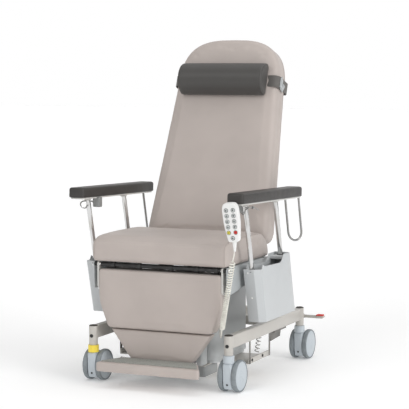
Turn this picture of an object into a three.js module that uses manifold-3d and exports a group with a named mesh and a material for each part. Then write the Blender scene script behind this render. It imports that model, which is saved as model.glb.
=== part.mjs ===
// Patient recliner chair: wheeled base, lift column, powered seat, back and leg sections.
// Millimetres, +Z up, -Y is the front (the sitter faces -Y), +X is the sitter's left.
// The chair is modelled about the centre of its four base posts and is shifted once, at the end,
// so that the origin lies on the floor under the middle of its bounding box.
import * as THREE from 'three';
import { mergeVertices } from 'three/addons/utils/BufferGeometryUtils.js';
import Module from 'manifold-3d';

const wasm = await Module();
wasm.setup();

// ---------------------------------------------------------------- driving dimensions
const GAP = 0.3; // between parts that rest on each other
const RUN = 0.5; // radial clearance of a faceted pin in a faceted bore

const SEAT_HALF_W = 288;

// base
const POST_BESIDE = 4; // post axes outside the seat's sides, so that the calf pad passes between the posts
const BASE_HALF_X = SEAT_HALF_W + POST_BESIDE;
const BASE_HALF_Y = 384;
const POST_R = 17.5;
const RAIL_W = 30;
const RAIL_H = 50;
const RAIL_WALL = 3;
const BRAKE_SHAFT_R = 7;
const PEDAL_REACH = 102; // from the shaft axis to the tip
const PEDAL_ARM_H = 12;
const PEDAL_HUB_R = 13;
const PEDAL_TIP = 36; // length of the pad on the arm's end
const CROSS_W = 30;
const CROSS_LOW = 40; // underside of the cross members, below the rails' top

// casters
const CASTER_R = 62.5;
const CASTER_TRAIL = 37;
const CASTER_HALF_W = 40; // swivel axis to the outer wheel face
const CASTER_DISC_W = 21;
const HOOD_R = CASTER_R - 7.5;
const COLLAR_R = 22;
const COLLAR_LOW = 2 * CASTER_R - 8;
const COLLAR_TOP = COLLAR_LOW + 29;
const AXLE_R = 6;
const STEM_R = 8;
const STEM_TOP = COLLAR_TOP + 23;

// heights of the base, which follow the casters
const RAIL_TOP = COLLAR_TOP + 76;
const POST_TOP = RAIL_TOP + 3;
const BRAKE_Z = RAIL_TOP - 39;

// tray, column and covers
const TRAY_Z = 72;
const TRAY_BAR_H = 23;
const TRAY_HALF_X = BASE_HALF_X - 42;
const TRAY_FRONT = -280;
const TRAY_REAR = 50;
const TRAY_BAR_FRONT = -165; // the full-width part starts here
const TONGUE_HALF_X = 145;
const BATTERY_DEEP = 42; // below the tray
const SHEET = 4;
const COLUMN_Y = -65;
const COLUMN_W = 130; // outer tube along X
const COLUMN_D = 110;
const COLUMN_WALL = 5;
const COLUMN_OUTER_TOP = 385;
const COVER_HALF_X = 175;
const COVER_FRONT = -230;
const COVER_REAR = 100;
const COVER_LOW = 90;
const COVER_TOP = 392;
const COVER_WALL = 4;
const LOWER_COVER_INSET = COVER_WALL + 3;
const INNER_GAP = COLUMN_WALL + 1; // from the outer tube's outside to the inner tube's
const TILT_Z = 452; // tilt axis of the seat on the column head

// seat
const SEAT_T = 103;
const SEAT_BOTTOM = 482;
const SEAT_TOP = SEAT_BOTTOM + SEAT_T;
const SEAT_FRONT = -405;
const SEAT_REAR_CENTRE = -60; // centre of the quarter-round rear end
const PAN_T = 6;
const PAN_LOW = SEAT_BOTTOM - GAP - PAN_T;
const PAN_FRONT = -340;
const PAN_REAR = 24;
const SIDE_PLATE_X = SEAT_HALF_W - 4; // inner face
const SIDE_PLATE_T = 5;
const SIDE_PLATE_LOW = 372;
const SIDE_PLATE_REAR = 40;
const EAR_X = 200; // ears that carry the back's pivot shaft
const EAR_T = 6;
const CORD_SOCKET = { x: 216, y: -280, z: 430 };

// actuators: the plane of each, its rod's start inside the housing and its bores
const LEG_ACTUATOR_X = -110;
const BACK_ACTUATOR_X = 110;
const ACTUATOR_R = 17;
const ACTUATOR_BORE = 9.5;
const ACTUATOR_ROD_R = 8;
const ACTUATOR_ROD_START = 75;

// back
const BACK_TILT = THREE.MathUtils.degToRad(20); // from upright, at rest
const BACK_Y = SEAT_REAR_CENTRE + SEAT_T + 9; // a point of the front face, at height BACK_Z
const BACK_Z = SEAT_TOP + 5;
const BACK_T = 95;
const BACK_SHELL_T = 12;
const BACK_LOW = -48; // along the face, from that point
const BACK_SHOULDER = 594;
const BACK_TOP = 827;
const BACK_HALF_LOW = SEAT_HALF_W - 14;
const BACK_HALF_SHOULDER = BACK_HALF_LOW - 41;
const BACK_ROUND = 2 / 3; // power of the rounded top's outline
const BACK_PIVOT_Y = 117;
const BACK_PIVOT_Z = 490;
const PIVOT_R = 8;

// head pillow
const PILLOW_LEN = 382;
const PILLOW_H = 140;
const PILLOW_DEPTH = 84;
const PILLOW_S = 633; // centre, along the back's face
const STRAP_W = 52;
const STRAP_T = 2.5;

// leg section
const LEG_PIVOT_Y = -380;
const LEG_PIVOT_Z = 470;
const CALF_FRONT = -395;
const CALF_T = 65;
const CALF_TOP = 453;
const CALF_LOW = 220;
const CALF_HALF_TOP = SEAT_HALF_W - 27;
const CALF_HALF_LOW = CALF_HALF_TOP - 27;
const LOWER_PAD_FRONT = -377;
const LOWER_PAD_T = 45;
const LOWER_PAD_TOP = 217;
const LOWER_PAD_LOW = 108;
const LOWER_PAD_HALF_TOP = 218;
const LOWER_PAD_HALF_LOW = 138;
const LOWER_PLATE_HALF = LOWER_PAD_HALF_LOW - 6; // the plate behind the lower pad
const STRUT_LOW = LOWER_PAD_LOW + 42; // the slides' struts stay behind the pad's wider part
const CALF_REAR = CALF_FRONT + CALF_T;
const LEG_PLATE_Y = CALF_REAR + GAP; // front face of the carrier plate behind the calf pad
const LEG_PLATE_T = 6;
const LEG_SIDE_X = CALF_HALF_TOP + 2.5;
const SLIDE_X = 150; // leg slide rails
const SLIDE_PLAY = 0.6;
const CHANNEL_W = 30;
const CHANNEL_D = 20;
const CHANNEL_WALL = 3.5;
const CHANNEL_LOW = 236;
const CHANNEL_TOP = 440;
const FOOT_TOP = 106;
const FOOT_LOW = 65;
const FOOT_FRONT = -507;
const FOOT_REAR = -386;
const FOOT_HALF_FRONT = 222;
const FOOT_HALF_REAR = 165;

// armrests
const ARM_X = SEAT_HALF_W + 50;
const ARM_PAD_W = 69;
const ARM_PAD_T = 40;
const ARM_FRONT = -439;
const ARM_REAR = 199;
const ARM_Z = SEAT_TOP + 148; // underside of the pad at its front end
const ARM_SLOPE = THREE.MathUtils.degToRad(1.6); // the pad falls towards the rear
const ARM_PLATE_T = 6;
const ARM_POST_R = 9.75;
const ARM_LEAN = 0.26; // posts: rearward run per unit of drop
const FRONT_POST_Y = -336; // at ARM_POST_TOP
const REAR_POST_Y = -24;
const ARM_POST_TOP = ARM_Z - 14;
const ARM_POST_LOW = 434;
const LOOP_R = 4.5;
const LOOP_HALF = 37;
const LOOP_Y = 160;
const LOOP_DROP = 182;
const LOOP_TURN = THREE.MathUtils.degToRad(26);
const LEVER_R = 2.8;
const LEVER_Z = ARM_Z - 24;
const LEVER_Y = FRONT_POST_Y + 34;

// side pockets
const POCKET_IN = SEAT_HALF_W + 22;
const POCKET_OUT = POCKET_IN + 66.5;
const POCKET_FRONT = -294; // at POCKET_TOP
const POCKET_REAR = 48;
const POCKET_LOW = 254;
const POCKET_TOP = 501;
const POCKET_LEAN = ARM_LEAN; // the posts slide down inside the pockets
const POCKET_WALL = 3;
const POCKET_CHAMFER = { left: 6, right: 23 }; // front outer corner
const POCKET_BRACKETS = [-205, 5];

// handset
const HANDSET_W = 63;
const HANDSET_H = 150;
const HANDSET_T = 24;
const HANDSET_X = ARM_X - 5;
const HANDSET_Y = -449;
const HANDSET_Z = ARM_Z - 67;
const HANDSET_LEAN = THREE.MathUtils.degToRad(7);
const HANDSET_ROLL = THREE.MathUtils.degToRad(5); // it hangs turned a little in its own face
const RELIEF_LENGTH = 40;
const RELIEF_BEND = 5; // sideways from the body to the strain relief's end
const BUTTON_R = 6.5;
const BUTTON_PROUD = 1.6;
const BUTTON_DEEP = 3;
const BUTTON_PITCH_X = 28;
const BUTTON_PITCH_Z = 21.3;
const BUTTON_FIRST = 47; // first row above the handset's centre

// cord
const CORD_R = 2.5;
const COIL_R = 11.5;
const CORD_LEAD = [[5, 9.5, -115], [3.6, 10, -126], [1.2, 10.6, -136], [-1.3, 11, -145.9]]
  .map(([x, y, z]) => [HANDSET_X + x, HANDSET_Y + y, HANDSET_Z + z]);
const COIL_TOP = [HANDSET_X - 1.6, HANDSET_Y + 11, HANDSET_Z - 147];
const COIL_END = [270, -400, 246];
const CORD_TAIL = [[269.8, -399.8, 244.9], [267, -394, 231], [260, -380, 217], [248, -358, 208], [236, -336, 210],
  [226, -316, 224], [220, -300, 250], [217, -288, 285], [216, -282, 325], [216, -280, 370],
  [CORD_SOCKET.x, CORD_SOCKET.y, CORD_SOCKET.z - 0.4]];

// ---------------------------------------------------------------- materials
const finish = (color, roughness, metalness = 0) =>
  new THREE.MeshStandardMaterial({ color, roughness, metalness });
const materials = {
  upholstery: finish(0xb5aca6, 0.55),
  darkUpholstery: finish(0x3f3c3a, 0.5),
  pillow: finish(0x4f4d4b, 0.5),
  paintedFrame: finish(0xc5c2bd, 0.45, 0.1),
  cover: finish(0xc6c8c8, 0.5),
  pocket: finish(0xcdcfd0, 0.5),
  chrome: finish(0xdddcd8, 0.15, 1),
  steel: finish(0x9a9a98, 0.35, 0.9),
  black: finish(0x1d1d1c, 0.5),
  casterShell: finish(0xbcc3c8, 0.4),
  casterTyre: finish(0x80878b, 0.6),
  yellow: finish(0xf2dd66, 0.5),
  red: finish(0xd5403a, 0.5),
  white: finish(0xeeeeea, 0.4),
  buttonGrey: finish(0x8d928f, 0.5),
  mat: finish(0x8f918c, 0.8),
  cord: finish(0xe7e3d8, 0.5),
};

// ---------------------------------------------------------------- shape helpers
function toManifold(geometry) {
  const plain = geometry.clone();
  plain.deleteAttribute('normal');
  plain.deleteAttribute('uv');
  const merged = mergeVertices(plain, 1e-4);
  const mesh = new wasm.Mesh({
    numProp: 3,
    vertProperties: new Float32Array(merged.attributes.position.array),
    triVerts: new Uint32Array(merged.index.array),
  });
  return new wasm.Manifold(mesh);
}

function toGeometry(manifold) {
  const mesh = manifold.getMesh();
  const geometry = new THREE.BufferGeometry();
  geometry.setAttribute('position', new THREE.BufferAttribute(Float32Array.from(mesh.vertProperties), 3));
  geometry.setIndex(new THREE.BufferAttribute(Uint32Array.from(mesh.triVerts), 1));
  geometry.computeVertexNormals();
  return geometry;
}

const join = (geometries) => geometries.map(toManifold).reduce((sum, part) => sum.add(part));

// Joins the solids of `keep` and cuts away those of `cut`.
function carve(keep, cut = []) {
  const body = join(keep);
  return toGeometry(cut.length ? body.subtract(join(cut)) : body);
}

// A box from its lowest and highest corners.
function block(x0, x1, y0, y1, z0, z1) {
  const [xa, xb] = x0 < x1 ? [x0, x1] : [x1, x0];
  const geometry = new THREE.BoxGeometry(xb - xa, y1 - y0, z1 - z0);
  return geometry.translate((xa + xb) / 2, (y0 + y1) / 2, (z0 + z1) / 2);
}

function outline(points) {
  return new THREE.Shape(points.map(([a, b]) => new THREE.Vector2(a, b)));
}

const extruded = (shape, depth, curveSegments = 8) =>
  new THREE.ExtrudeGeometry(shape, { depth, bevelEnabled: false, curveSegments });

// A (y, z) outline extruded along X.
function alongX(shape, x0, x1, curveSegments) {
  const toXYZ = new THREE.Matrix4().set(0, 0, 1, Math.min(x0, x1), 1, 0, 0, 0, 0, 1, 0, 0, 0, 0, 0, 1);
  return extruded(shape, Math.abs(x1 - x0), curveSegments).applyMatrix4(toXYZ);
}

// An (x, z) outline extruded along Y.
function alongY(shape, y0, y1, curveSegments) {
  return extruded(shape, y1 - y0, curveSegments).rotateX(Math.PI / 2).translate(0, y1, 0);
}

// An (x, y) outline extruded along Z.
const alongZ = (shape, z0, z1, curveSegments) =>
  extruded(shape, z1 - z0, curveSegments).translate(0, 0, z0);

// A round bar between two points.
function bar(from, to, radius, sides = 16, endRadius = radius) {
  const a = new THREE.Vector3(...from);
  const b = new THREE.Vector3(...to);
  const geometry = new THREE.CylinderGeometry(endRadius, radius, a.distanceTo(b), sides);
  const turn = new THREE.Quaternion().setFromUnitVectors(
    new THREE.Vector3(0, 1, 0), b.clone().sub(a).normalize());
  return geometry.applyQuaternion(turn).translate(...a.add(b).multiplyScalar(0.5).toArray());
}

function ringShape(radius, sides) {
  const points = Array.from({ length: sides }, (_, i) => {
    const angle = ((i + 0.5) * 2 * Math.PI) / sides;
    return [radius * Math.cos(angle), radius * Math.sin(angle)];
  });
  return outline(points);
}

// A round rod that follows a smooth curve through the points.
function rod(points, radius, sides, steps) {
  const path = new THREE.CatmullRomCurve3(points.map((p) => new THREE.Vector3(...p)), false, 'centripetal');
  return new THREE.ExtrudeGeometry(ringShape(radius, sides), { steps, extrudePath: path });
}

function roundedRect(x0, x1, y0, y1, radius) {
  const shape = new THREE.Shape();
  shape.moveTo(x0 + radius, y0);
  shape.lineTo(x1 - radius, y0);
  shape.absarc(x1 - radius, y0 + radius, radius, -Math.PI / 2, 0);
  shape.absarc(x1 - radius, y1 - radius, radius, 0, Math.PI / 2);
  shape.absarc(x0 + radius, y1 - radius, radius, Math.PI / 2, Math.PI);
  shape.absarc(x0 + radius, y0 + radius, radius, Math.PI, 1.5 * Math.PI);
  return shape;
}

// A sleeve: one rounded rectangle with a smaller one cut out of it.
function sleeve(x0, x1, y0, y1, z0, z1, wall, radius, curveSegments = 4) {
  const shape = roundedRect(x0, x1, y0, y1, radius);
  const hole = roundedRect(x0 + wall, x1 - wall, y0 + wall, y1 - wall, Math.max(radius - wall, 0.5));
  shape.holes.push(new THREE.Path(hole.getPoints(curveSegments).reverse()));
  return alongZ(shape, z0, z1, curveSegments);
}

const chair = new THREE.Group();

function add(name, geometry, material, parent = chair) {
  const mesh = new THREE.Mesh(geometry, material);
  mesh.name = name;
  parent.add(mesh);
  return mesh;
}

const sides = [['left', -1], ['right', 1]]; // as seen from the front: left is -X
const corners = [['front_left', -1, -1], ['front_right', 1, -1], ['rear_left', -1, 1], ['rear_right', 1, 1]];

// ---------------------------------------------------------------- base
function baseFrame() {
  const keep = [];
  const cut = [];
  for (const [, sx, sy] of corners) {
    const x = sx * BASE_HALF_X;
    const y = sy * BASE_HALF_Y;
    keep.push(bar([x, y, COLLAR_TOP + GAP], [x, y, POST_TOP], POST_R, 16));
    cut.push(bar([x, y, COLLAR_TOP - 1], [x, y, STEM_TOP + 2], STEM_R + RUN, 16));
  }
  for (const [, sx] of sides) {
    const x = sx * BASE_HALF_X;
    keep.push(block(x - RAIL_W / 2, x + RAIL_W / 2, -BASE_HALF_Y, BASE_HALF_Y, RAIL_TOP - RAIL_H, RAIL_TOP));
    cut.push(block(x - RAIL_W / 2 + RAIL_WALL, x + RAIL_W / 2 - RAIL_WALL, -BASE_HALF_Y + POST_R,
      BASE_HALF_Y - POST_R, RAIL_TOP - RAIL_H + RAIL_WALL, RAIL_TOP - RAIL_WALL));
    const reach = BASE_HALF_Y + POST_R + 5;
    cut.push(bar([x, -reach, BRAKE_Z], [x, reach, BRAKE_Z], BRAKE_SHAFT_R + RUN, 12));
    // gusset behind the front post and the plate under the middle of the rail
    const front = -BASE_HALF_Y + POST_R - 3;
    const low = RAIL_TOP - RAIL_H;
    keep.push(alongX(outline([[front, low + 1], [front, low - 22], [front + 26, low + 1]]), x - 2, x + 2));
    keep.push(alongX(outline([[62, low + 1], [80, low - 46], [182, low - 40], [196, low + 1]]), x - 14, x - 10));
  }
  // cross members, open underneath
  for (const y of [BASE_HALF_Y - 34, COVER_REAR + 24]) {
    const x = BASE_HALF_X - RAIL_W / 2 + 1;
    keep.push(block(-x, x, y - CROSS_W / 2, y + CROSS_W / 2, RAIL_TOP - CROSS_LOW, RAIL_TOP - 2));
    cut.push(block(-x + 4, x - 4, y - CROSS_W / 2 + RAIL_WALL, y + CROSS_W / 2 - RAIL_WALL,
      RAIL_TOP - CROSS_LOW - 1, RAIL_TOP - 2 - RAIL_WALL));
  }
  return carve(keep, cut);
}

function lowerTray() {
  const keep = [block(-TRAY_HALF_X, TRAY_HALF_X, TRAY_BAR_FRONT, TRAY_REAR, TRAY_Z, TRAY_Z + SHEET),
    block(-TONGUE_HALF_X, TONGUE_HALF_X, TRAY_FRONT, TRAY_BAR_FRONT + 5, TRAY_Z, TRAY_Z + SHEET)];
  const cut = [];
  for (const [, sx] of sides) {
    const x = sx * TRAY_HALF_X;
    keep.push(block(x - 3, x + 3, TRAY_BAR_FRONT, TRAY_REAR, TRAY_Z, TRAY_Z + TRAY_BAR_H));
    cut.push(bar([x - 10, TRAY_REAR - 75, TRAY_Z + 13], [x + 10, TRAY_REAR - 75, TRAY_Z + 13], 5, 12));
    const top = RAIL_TOP - RAIL_H - GAP;
    for (const y of [TRAY_BAR_FRONT, TRAY_REAR - 6]) {
      const outer = sx * (BASE_HALF_X - 6);
      keep.push(block(sx * (TRAY_HALF_X - 3), outer, y, y + 6, TRAY_Z, TRAY_Z + TRAY_BAR_H));
      keep.push(block(sx * (TRAY_HALF_X + 10), outer, y, y + 6, TRAY_Z, top));
    }
  }
  return carve(keep, cut);
}

add('base_frame', baseFrame(), materials.paintedFrame);
add('lower_tray', lowerTray(), materials.paintedFrame);
add('battery_pack', block(-TONGUE_HALF_X, TONGUE_HALF_X, TRAY_FRONT, -150, TRAY_Z - BATTERY_DEEP, TRAY_Z - GAP),
  materials.cover);
add('control_box', alongZ(roundedRect(-140, 140, COVER_FRONT - 62, COVER_FRONT - 6, 10),
  TRAY_Z + SHEET + GAP, 340, 3), materials.cover);
add('column_outer', sleeve(-COLUMN_W / 2, COLUMN_W / 2, COLUMN_Y - COLUMN_D / 2, COLUMN_Y + COLUMN_D / 2,
  TRAY_Z + SHEET + GAP, COLUMN_OUTER_TOP, COLUMN_WALL, 8, 2), materials.steel);
add('column_cover_lower', sleeve(-COVER_HALF_X + LOWER_COVER_INSET, COVER_HALF_X - LOWER_COVER_INSET,
  COVER_FRONT + LOWER_COVER_INSET, COVER_REAR - LOWER_COVER_INSET, TRAY_Z + SHEET + GAP,
  COLUMN_OUTER_TOP, 3, 33), materials.cover);

// Brake pedal: hub behind the rear post, arm outward, and the shaft that runs through the rail.
function brakePedal(sx) {
  const x = sx * BASE_HALF_X;
  const hub0 = BASE_HALF_Y + POST_R + 1;
  const hub1 = hub0 + 16;
  const tip = sx * (BASE_HALF_X + PEDAL_REACH);
  return carve([
    bar([x, -BASE_HALF_Y - POST_R + 2, BRAKE_Z], [x, hub1 + 2, BRAKE_Z], BRAKE_SHAFT_R, 6),
    bar([x, hub0, BRAKE_Z], [x, hub1, BRAKE_Z], PEDAL_HUB_R, 16),
    block(x, tip, hub0 + 1, hub1 - 1, BRAKE_Z - PEDAL_ARM_H / 2, BRAKE_Z + PEDAL_ARM_H / 2),
    block(tip - sx * PEDAL_TIP, tip, hub0 - 5, hub1 + 5, BRAKE_Z - 2, BRAKE_Z + PEDAL_ARM_H / 2 + 5),
  ]);
}
for (const [side, sx] of sides) add(`brake_pedal_${side}`, brakePedal(sx), materials.paintedFrame);

// ---------------------------------------------------------------- casters
// Swivel hood with its stem. Its collar is slimmer where the lock ring sits around it.
function casterFork(ringed) {
  const half = CASTER_HALF_W - CASTER_DISC_W - 1;
  const hood = new THREE.Shape();
  hood.absarc(CASTER_TRAIL, CASTER_R, HOOD_R, -0.38 * Math.PI, 0.5 * Math.PI);
  hood.lineTo(-half, COLLAR_LOW + 1);
  hood.lineTo(-half - 3, CASTER_R);
  hood.lineTo(-half + 4, 20);
  const collar = ringed ? COLLAR_R - 5 : COLLAR_R;
  const keep = [
    alongX(hood, -half, half, 10),
    bar([0, 0, COLLAR_LOW], [0, 0, COLLAR_TOP], collar, 20),
    bar([0, 0, CASTER_R], [0, 0, COLLAR_LOW + 1], half, 16),
    bar([0, 0, COLLAR_TOP - 2], [0, 0, STEM_TOP], STEM_R, 12),
  ];
  const bore = bar([-half - 2, CASTER_TRAIL, CASTER_R], [half + 2, CASTER_TRAIL, CASTER_R], AXLE_R + RUN, 16);
  return carve(keep, [bore]);
}

// Two tyred discs on one axle.
function twinWheel() {
  const out = CASTER_HALF_W;
  const inner = CASTER_HALF_W - CASTER_DISC_W;
  const half = [
    [0, out], [CASTER_R - 4, out], [CASTER_R, out - 5], [CASTER_R, inner + 5], [CASTER_R - 4, inner],
    [AXLE_R, inner],
  ];
  const points = [...half, ...half.toReversed().map(([r, h]) => [r, -h])];
  const profile = points.map(([r, h]) => new THREE.Vector2(r, h)).reverse();
  return new THREE.LatheGeometry(profile, 20).rotateZ(-Math.PI / 2);
}

for (const [corner, sx, sy] of corners) {
  const caster = new THREE.Group();
  caster.position.set(sx * BASE_HALF_X, sy * BASE_HALF_Y, 0);
  chair.add(caster);
  const ringed = corner === 'front_left';
  add(`caster_fork_${corner}`, casterFork(ringed), materials.casterShell, caster);
  const wheel = add(`caster_wheel_${corner}`, twinWheel(), materials.casterTyre, caster);
  wheel.position.set(0, CASTER_TRAIL, CASTER_R);
  if (ringed) {
    const ring = alongZ(ringShape(COLLAR_R - 0.5, 20), COLLAR_LOW - 10, COLLAR_TOP - GAP);
    const hole = bar([0, 0, COLLAR_LOW - 20], [0, 0, COLLAR_TOP], COLLAR_R - 5 + GAP, 20);
    const above = block(-40, 40, -40, 40, COLLAR_LOW + 1.5, COLLAR_TOP + 10);
    const sleeveBody = toManifold(ring).subtract(toManifold(hole)).intersect(toManifold(above));
    add('lock_ring', toGeometry(sleeveBody), materials.yellow, caster);
  }
}

// ---------------------------------------------------------------- lift head and its cover
function columnInner() {
  const x = COLUMN_W / 2 - INNER_GAP;
  const y = COLUMN_D / 2 - INNER_GAP;
  const top = TILT_Z - 20;
  return carve([
    sleeve(-x, x, COLUMN_Y - y, COLUMN_Y + y, TRAY_Z + 30, top, COLUMN_WALL, 6, 2),
    block(-x, x, COLUMN_Y - y, COLUMN_Y + y, top - 6, top),
    block(-20, 20, COLUMN_Y - 12, COLUMN_Y + 12, top - 1, TILT_Z),
    bar([-COLUMN_W / 2 - 17, COLUMN_Y, TILT_Z], [COLUMN_W / 2 + 17, COLUMN_Y, TILT_Z], PIVOT_R, 16),
  ]);
}
add('column_inner', columnInner(), materials.steel);

function columnCoverUpper() {
  const wall = sleeve(-COVER_HALF_X, COVER_HALF_X, COVER_FRONT, COVER_REAR, COVER_LOW, COVER_TOP, COVER_WALL, 40);
  const lid = alongZ(roundedRect(-COVER_HALF_X + 1, COVER_HALF_X - 1, COVER_FRONT + 1, COVER_REAR - 1, 39),
    COVER_TOP - COVER_WALL, COVER_TOP, 4);
  const x = COLUMN_W / 2 - INNER_GAP + GAP;
  const y = COLUMN_D / 2 - INNER_GAP + GAP;
  return carve([wall, lid], [block(-x, x, COLUMN_Y - y, COLUMN_Y + y, COVER_TOP - 20, COVER_TOP + 20)]);
}
add('column_cover_upper', columnCoverUpper(), materials.cover);

// ---------------------------------------------------------------- seat
function seatFrame() {
  const keep = [block(-SIDE_PLATE_X - 1, SIDE_PLATE_X + 1, PAN_FRONT, PAN_REAR, PAN_LOW, PAN_LOW + PAN_T)];
  const cut = [];
  const lug = 11;
  for (const [, sx] of sides) {
    const x0 = sx * SIDE_PLATE_X;
    const x1 = sx * (SIDE_PLATE_X + SIDE_PLATE_T);
    const plate = new THREE.Shape();
    plate.moveTo(LEG_PIVOT_Y + 4, SIDE_PLATE_LOW);
    plate.lineTo(SIDE_PLATE_REAR, SIDE_PLATE_LOW + 60);
    plate.lineTo(SIDE_PLATE_REAR, PAN_LOW + PAN_T);
    plate.lineTo(LEG_PIVOT_Y, LEG_PIVOT_Z + lug);
    plate.absarc(LEG_PIVOT_Y, LEG_PIVOT_Z, lug, Math.PI / 2, Math.PI);
    plate.lineTo(LEG_PIVOT_Y + 4 - lug, SIDE_PLATE_LOW + 8);
    keep.push(alongX(plate, x0, x1));
    // brackets that carry the side pocket
    for (const y of POCKET_BRACKETS) {
      keep.push(block(sx * (SIDE_PLATE_X + 2), sx * (POCKET_IN - GAP), y - 12, y + 12, 440, 452));
    }
    // lug on the column head's tilt pin
    const lugX = COLUMN_W / 2 + 7;
    keep.push(block(sx * lugX, sx * (lugX + 8), COLUMN_Y - 16, COLUMN_Y + 16, TILT_Z - 13, PAN_LOW + 1));
    cut.push(bar([sx * (lugX - 2), COLUMN_Y, TILT_Z], [sx * (lugX + 10), COLUMN_Y, TILT_Z], PIVOT_R + RUN, 16));
    // ear that carries the back's pivot shaft
    const ear = new THREE.Shape();
    ear.moveTo(-80, 452);
    ear.lineTo(70, 452);
    ear.lineTo(BACK_PIVOT_Y + 12, BACK_PIVOT_Z - 11);
    ear.absarc(BACK_PIVOT_Y, BACK_PIVOT_Z, 16, -Math.PI / 4, 0.75 * Math.PI);
    ear.lineTo(66, PAN_LOW + PAN_T);
    ear.lineTo(-80, PAN_LOW + PAN_T);
    keep.push(alongX(ear, sx * EAR_X, sx * (EAR_X + EAR_T)));
    cut.push(bar([sx * (SIDE_PLATE_X - 4), LEG_PIVOT_Y, LEG_PIVOT_Z],
      [sx * (SIDE_PLATE_X + SIDE_PLATE_T + 4), LEG_PIVOT_Y, LEG_PIVOT_Z], PIVOT_R + GAP, 16));
  }
  // the back's pivot shaft, welded into the ears
  const shaftX = EAR_X + 2 * EAR_T;
  keep.push(bar([-shaftX, BACK_PIVOT_Y, BACK_PIVOT_Z], [shaftX, BACK_PIVOT_Y, BACK_PIVOT_Z], PIVOT_R, 16));
  // socket block of the handset cord, under the pan
  keep.push(block(CORD_SOCKET.x - 14, CORD_SOCKET.x + 14, CORD_SOCKET.y - 14, CORD_SOCKET.y + 14,
    CORD_SOCKET.z, PAN_LOW + 1));
  // hangers at the fixed ends of the two actuators
  keep.push(block(LEG_ACTUATOR_X - 5, LEG_ACTUATOR_X + 5, -56, -40, 436, PAN_LOW + 1));
  keep.push(block(BACK_ACTUATOR_X - 5, BACK_ACTUATOR_X + 5, -222, -205, 440, PAN_LOW + 1));
  return carve(keep, cut);
}

add('seat_frame', seatFrame(), materials.cover);

function seatCushion() {
  const r = SEAT_TOP - SEAT_BOTTOM;
  const profile = new THREE.Shape();
  profile.moveTo(SEAT_FRONT + 14, SEAT_BOTTOM);
  profile.quadraticCurveTo(SEAT_FRONT + 1, SEAT_BOTTOM + 4, SEAT_FRONT, SEAT_BOTTOM + 30);
  profile.lineTo(SEAT_FRONT + 3, SEAT_BOTTOM + 60);
  profile.quadraticCurveTo(SEAT_FRONT + 12, SEAT_TOP - 4, SEAT_FRONT + 75, SEAT_TOP);
  profile.lineTo(SEAT_REAR_CENTRE, SEAT_TOP);
  profile.absarc(SEAT_REAR_CENTRE, SEAT_BOTTOM, r, Math.PI / 2, 0, true);
  return alongX(profile, -SEAT_HALF_W, SEAT_HALF_W, 6);
}
add('seat_cushion', seatCushion(), materials.upholstery);

const shaftEnd = SIDE_PLATE_X + SIDE_PLATE_T + 2;
add('leg_pivot_shaft', bar([-shaftEnd, LEG_PIVOT_Y, LEG_PIVOT_Z], [shaftEnd, LEG_PIVOT_Y, LEG_PIVOT_Z],
  PIVOT_R, 16), materials.black);

// Linear actuators: a blind-bored housing and the rod that slides in it.
function actuatorHousing(length, radius, bore) {
  const profile = [[0, 0], [radius, 0], [radius, length], [bore, length], [bore, 14], [0, 14]];
  return new THREE.LatheGeometry(profile.map(([r, h]) => new THREE.Vector2(r, h)), 16);
}

function addActuator(name, x, from, to, housingLength) {
  const actuator = new THREE.Group();
  const a = new THREE.Vector3(x, ...from);
  const b = new THREE.Vector3(x, ...to);
  actuator.position.copy(a);
  actuator.quaternion.setFromUnitVectors(new THREE.Vector3(0, 1, 0), b.clone().sub(a).normalize());
  chair.add(actuator);
  add(name, actuatorHousing(housingLength, ACTUATOR_R, ACTUATOR_BORE), materials.black, actuator);
  const length = a.distanceTo(b);
  add(`${name}_rod`, bar([0, ACTUATOR_ROD_START, 0], [0, length, 0], ACTUATOR_ROD_R, 12), materials.chrome, actuator);
}
addActuator('leg_actuator', LEG_ACTUATOR_X, [-59, 446], [-300, 410], 190);
addActuator('back_actuator', BACK_ACTUATOR_X, [-205 + GAP, 450], [104, 441], 235);

// ---------------------------------------------------------------- side pockets
function pocketOutline(sx, inset) {
  const xi = POCKET_IN + inset;
  const xo = POCKET_OUT - inset;
  const yf = POCKET_FRONT + inset;
  const yr = POCKET_REAR - inset;
  const chamfer = (sx > 0 ? POCKET_CHAMFER.right : POCKET_CHAMFER.left) - inset * 0.4;
  const points = [[xi, yf], [xo - chamfer, yf], [xo, yf + chamfer], [xo, yr - 8], [xo - 8, yr], [xi, yr]];
  return outline(points.map(([x, y]) => [sx * x, y]));
}

// Leans a solid rearward as it goes down, as the posts and pockets do.
const leaned = (geometry, lean, zTop) =>
  geometry.applyMatrix4(new THREE.Matrix4().set(1, 0, 0, 0, 0, 1, -lean, lean * zTop, 0, 0, 1, 0, 0, 0, 0, 1));

const postPoint = (y, z) => y + (ARM_POST_TOP - z) * ARM_LEAN;

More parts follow.
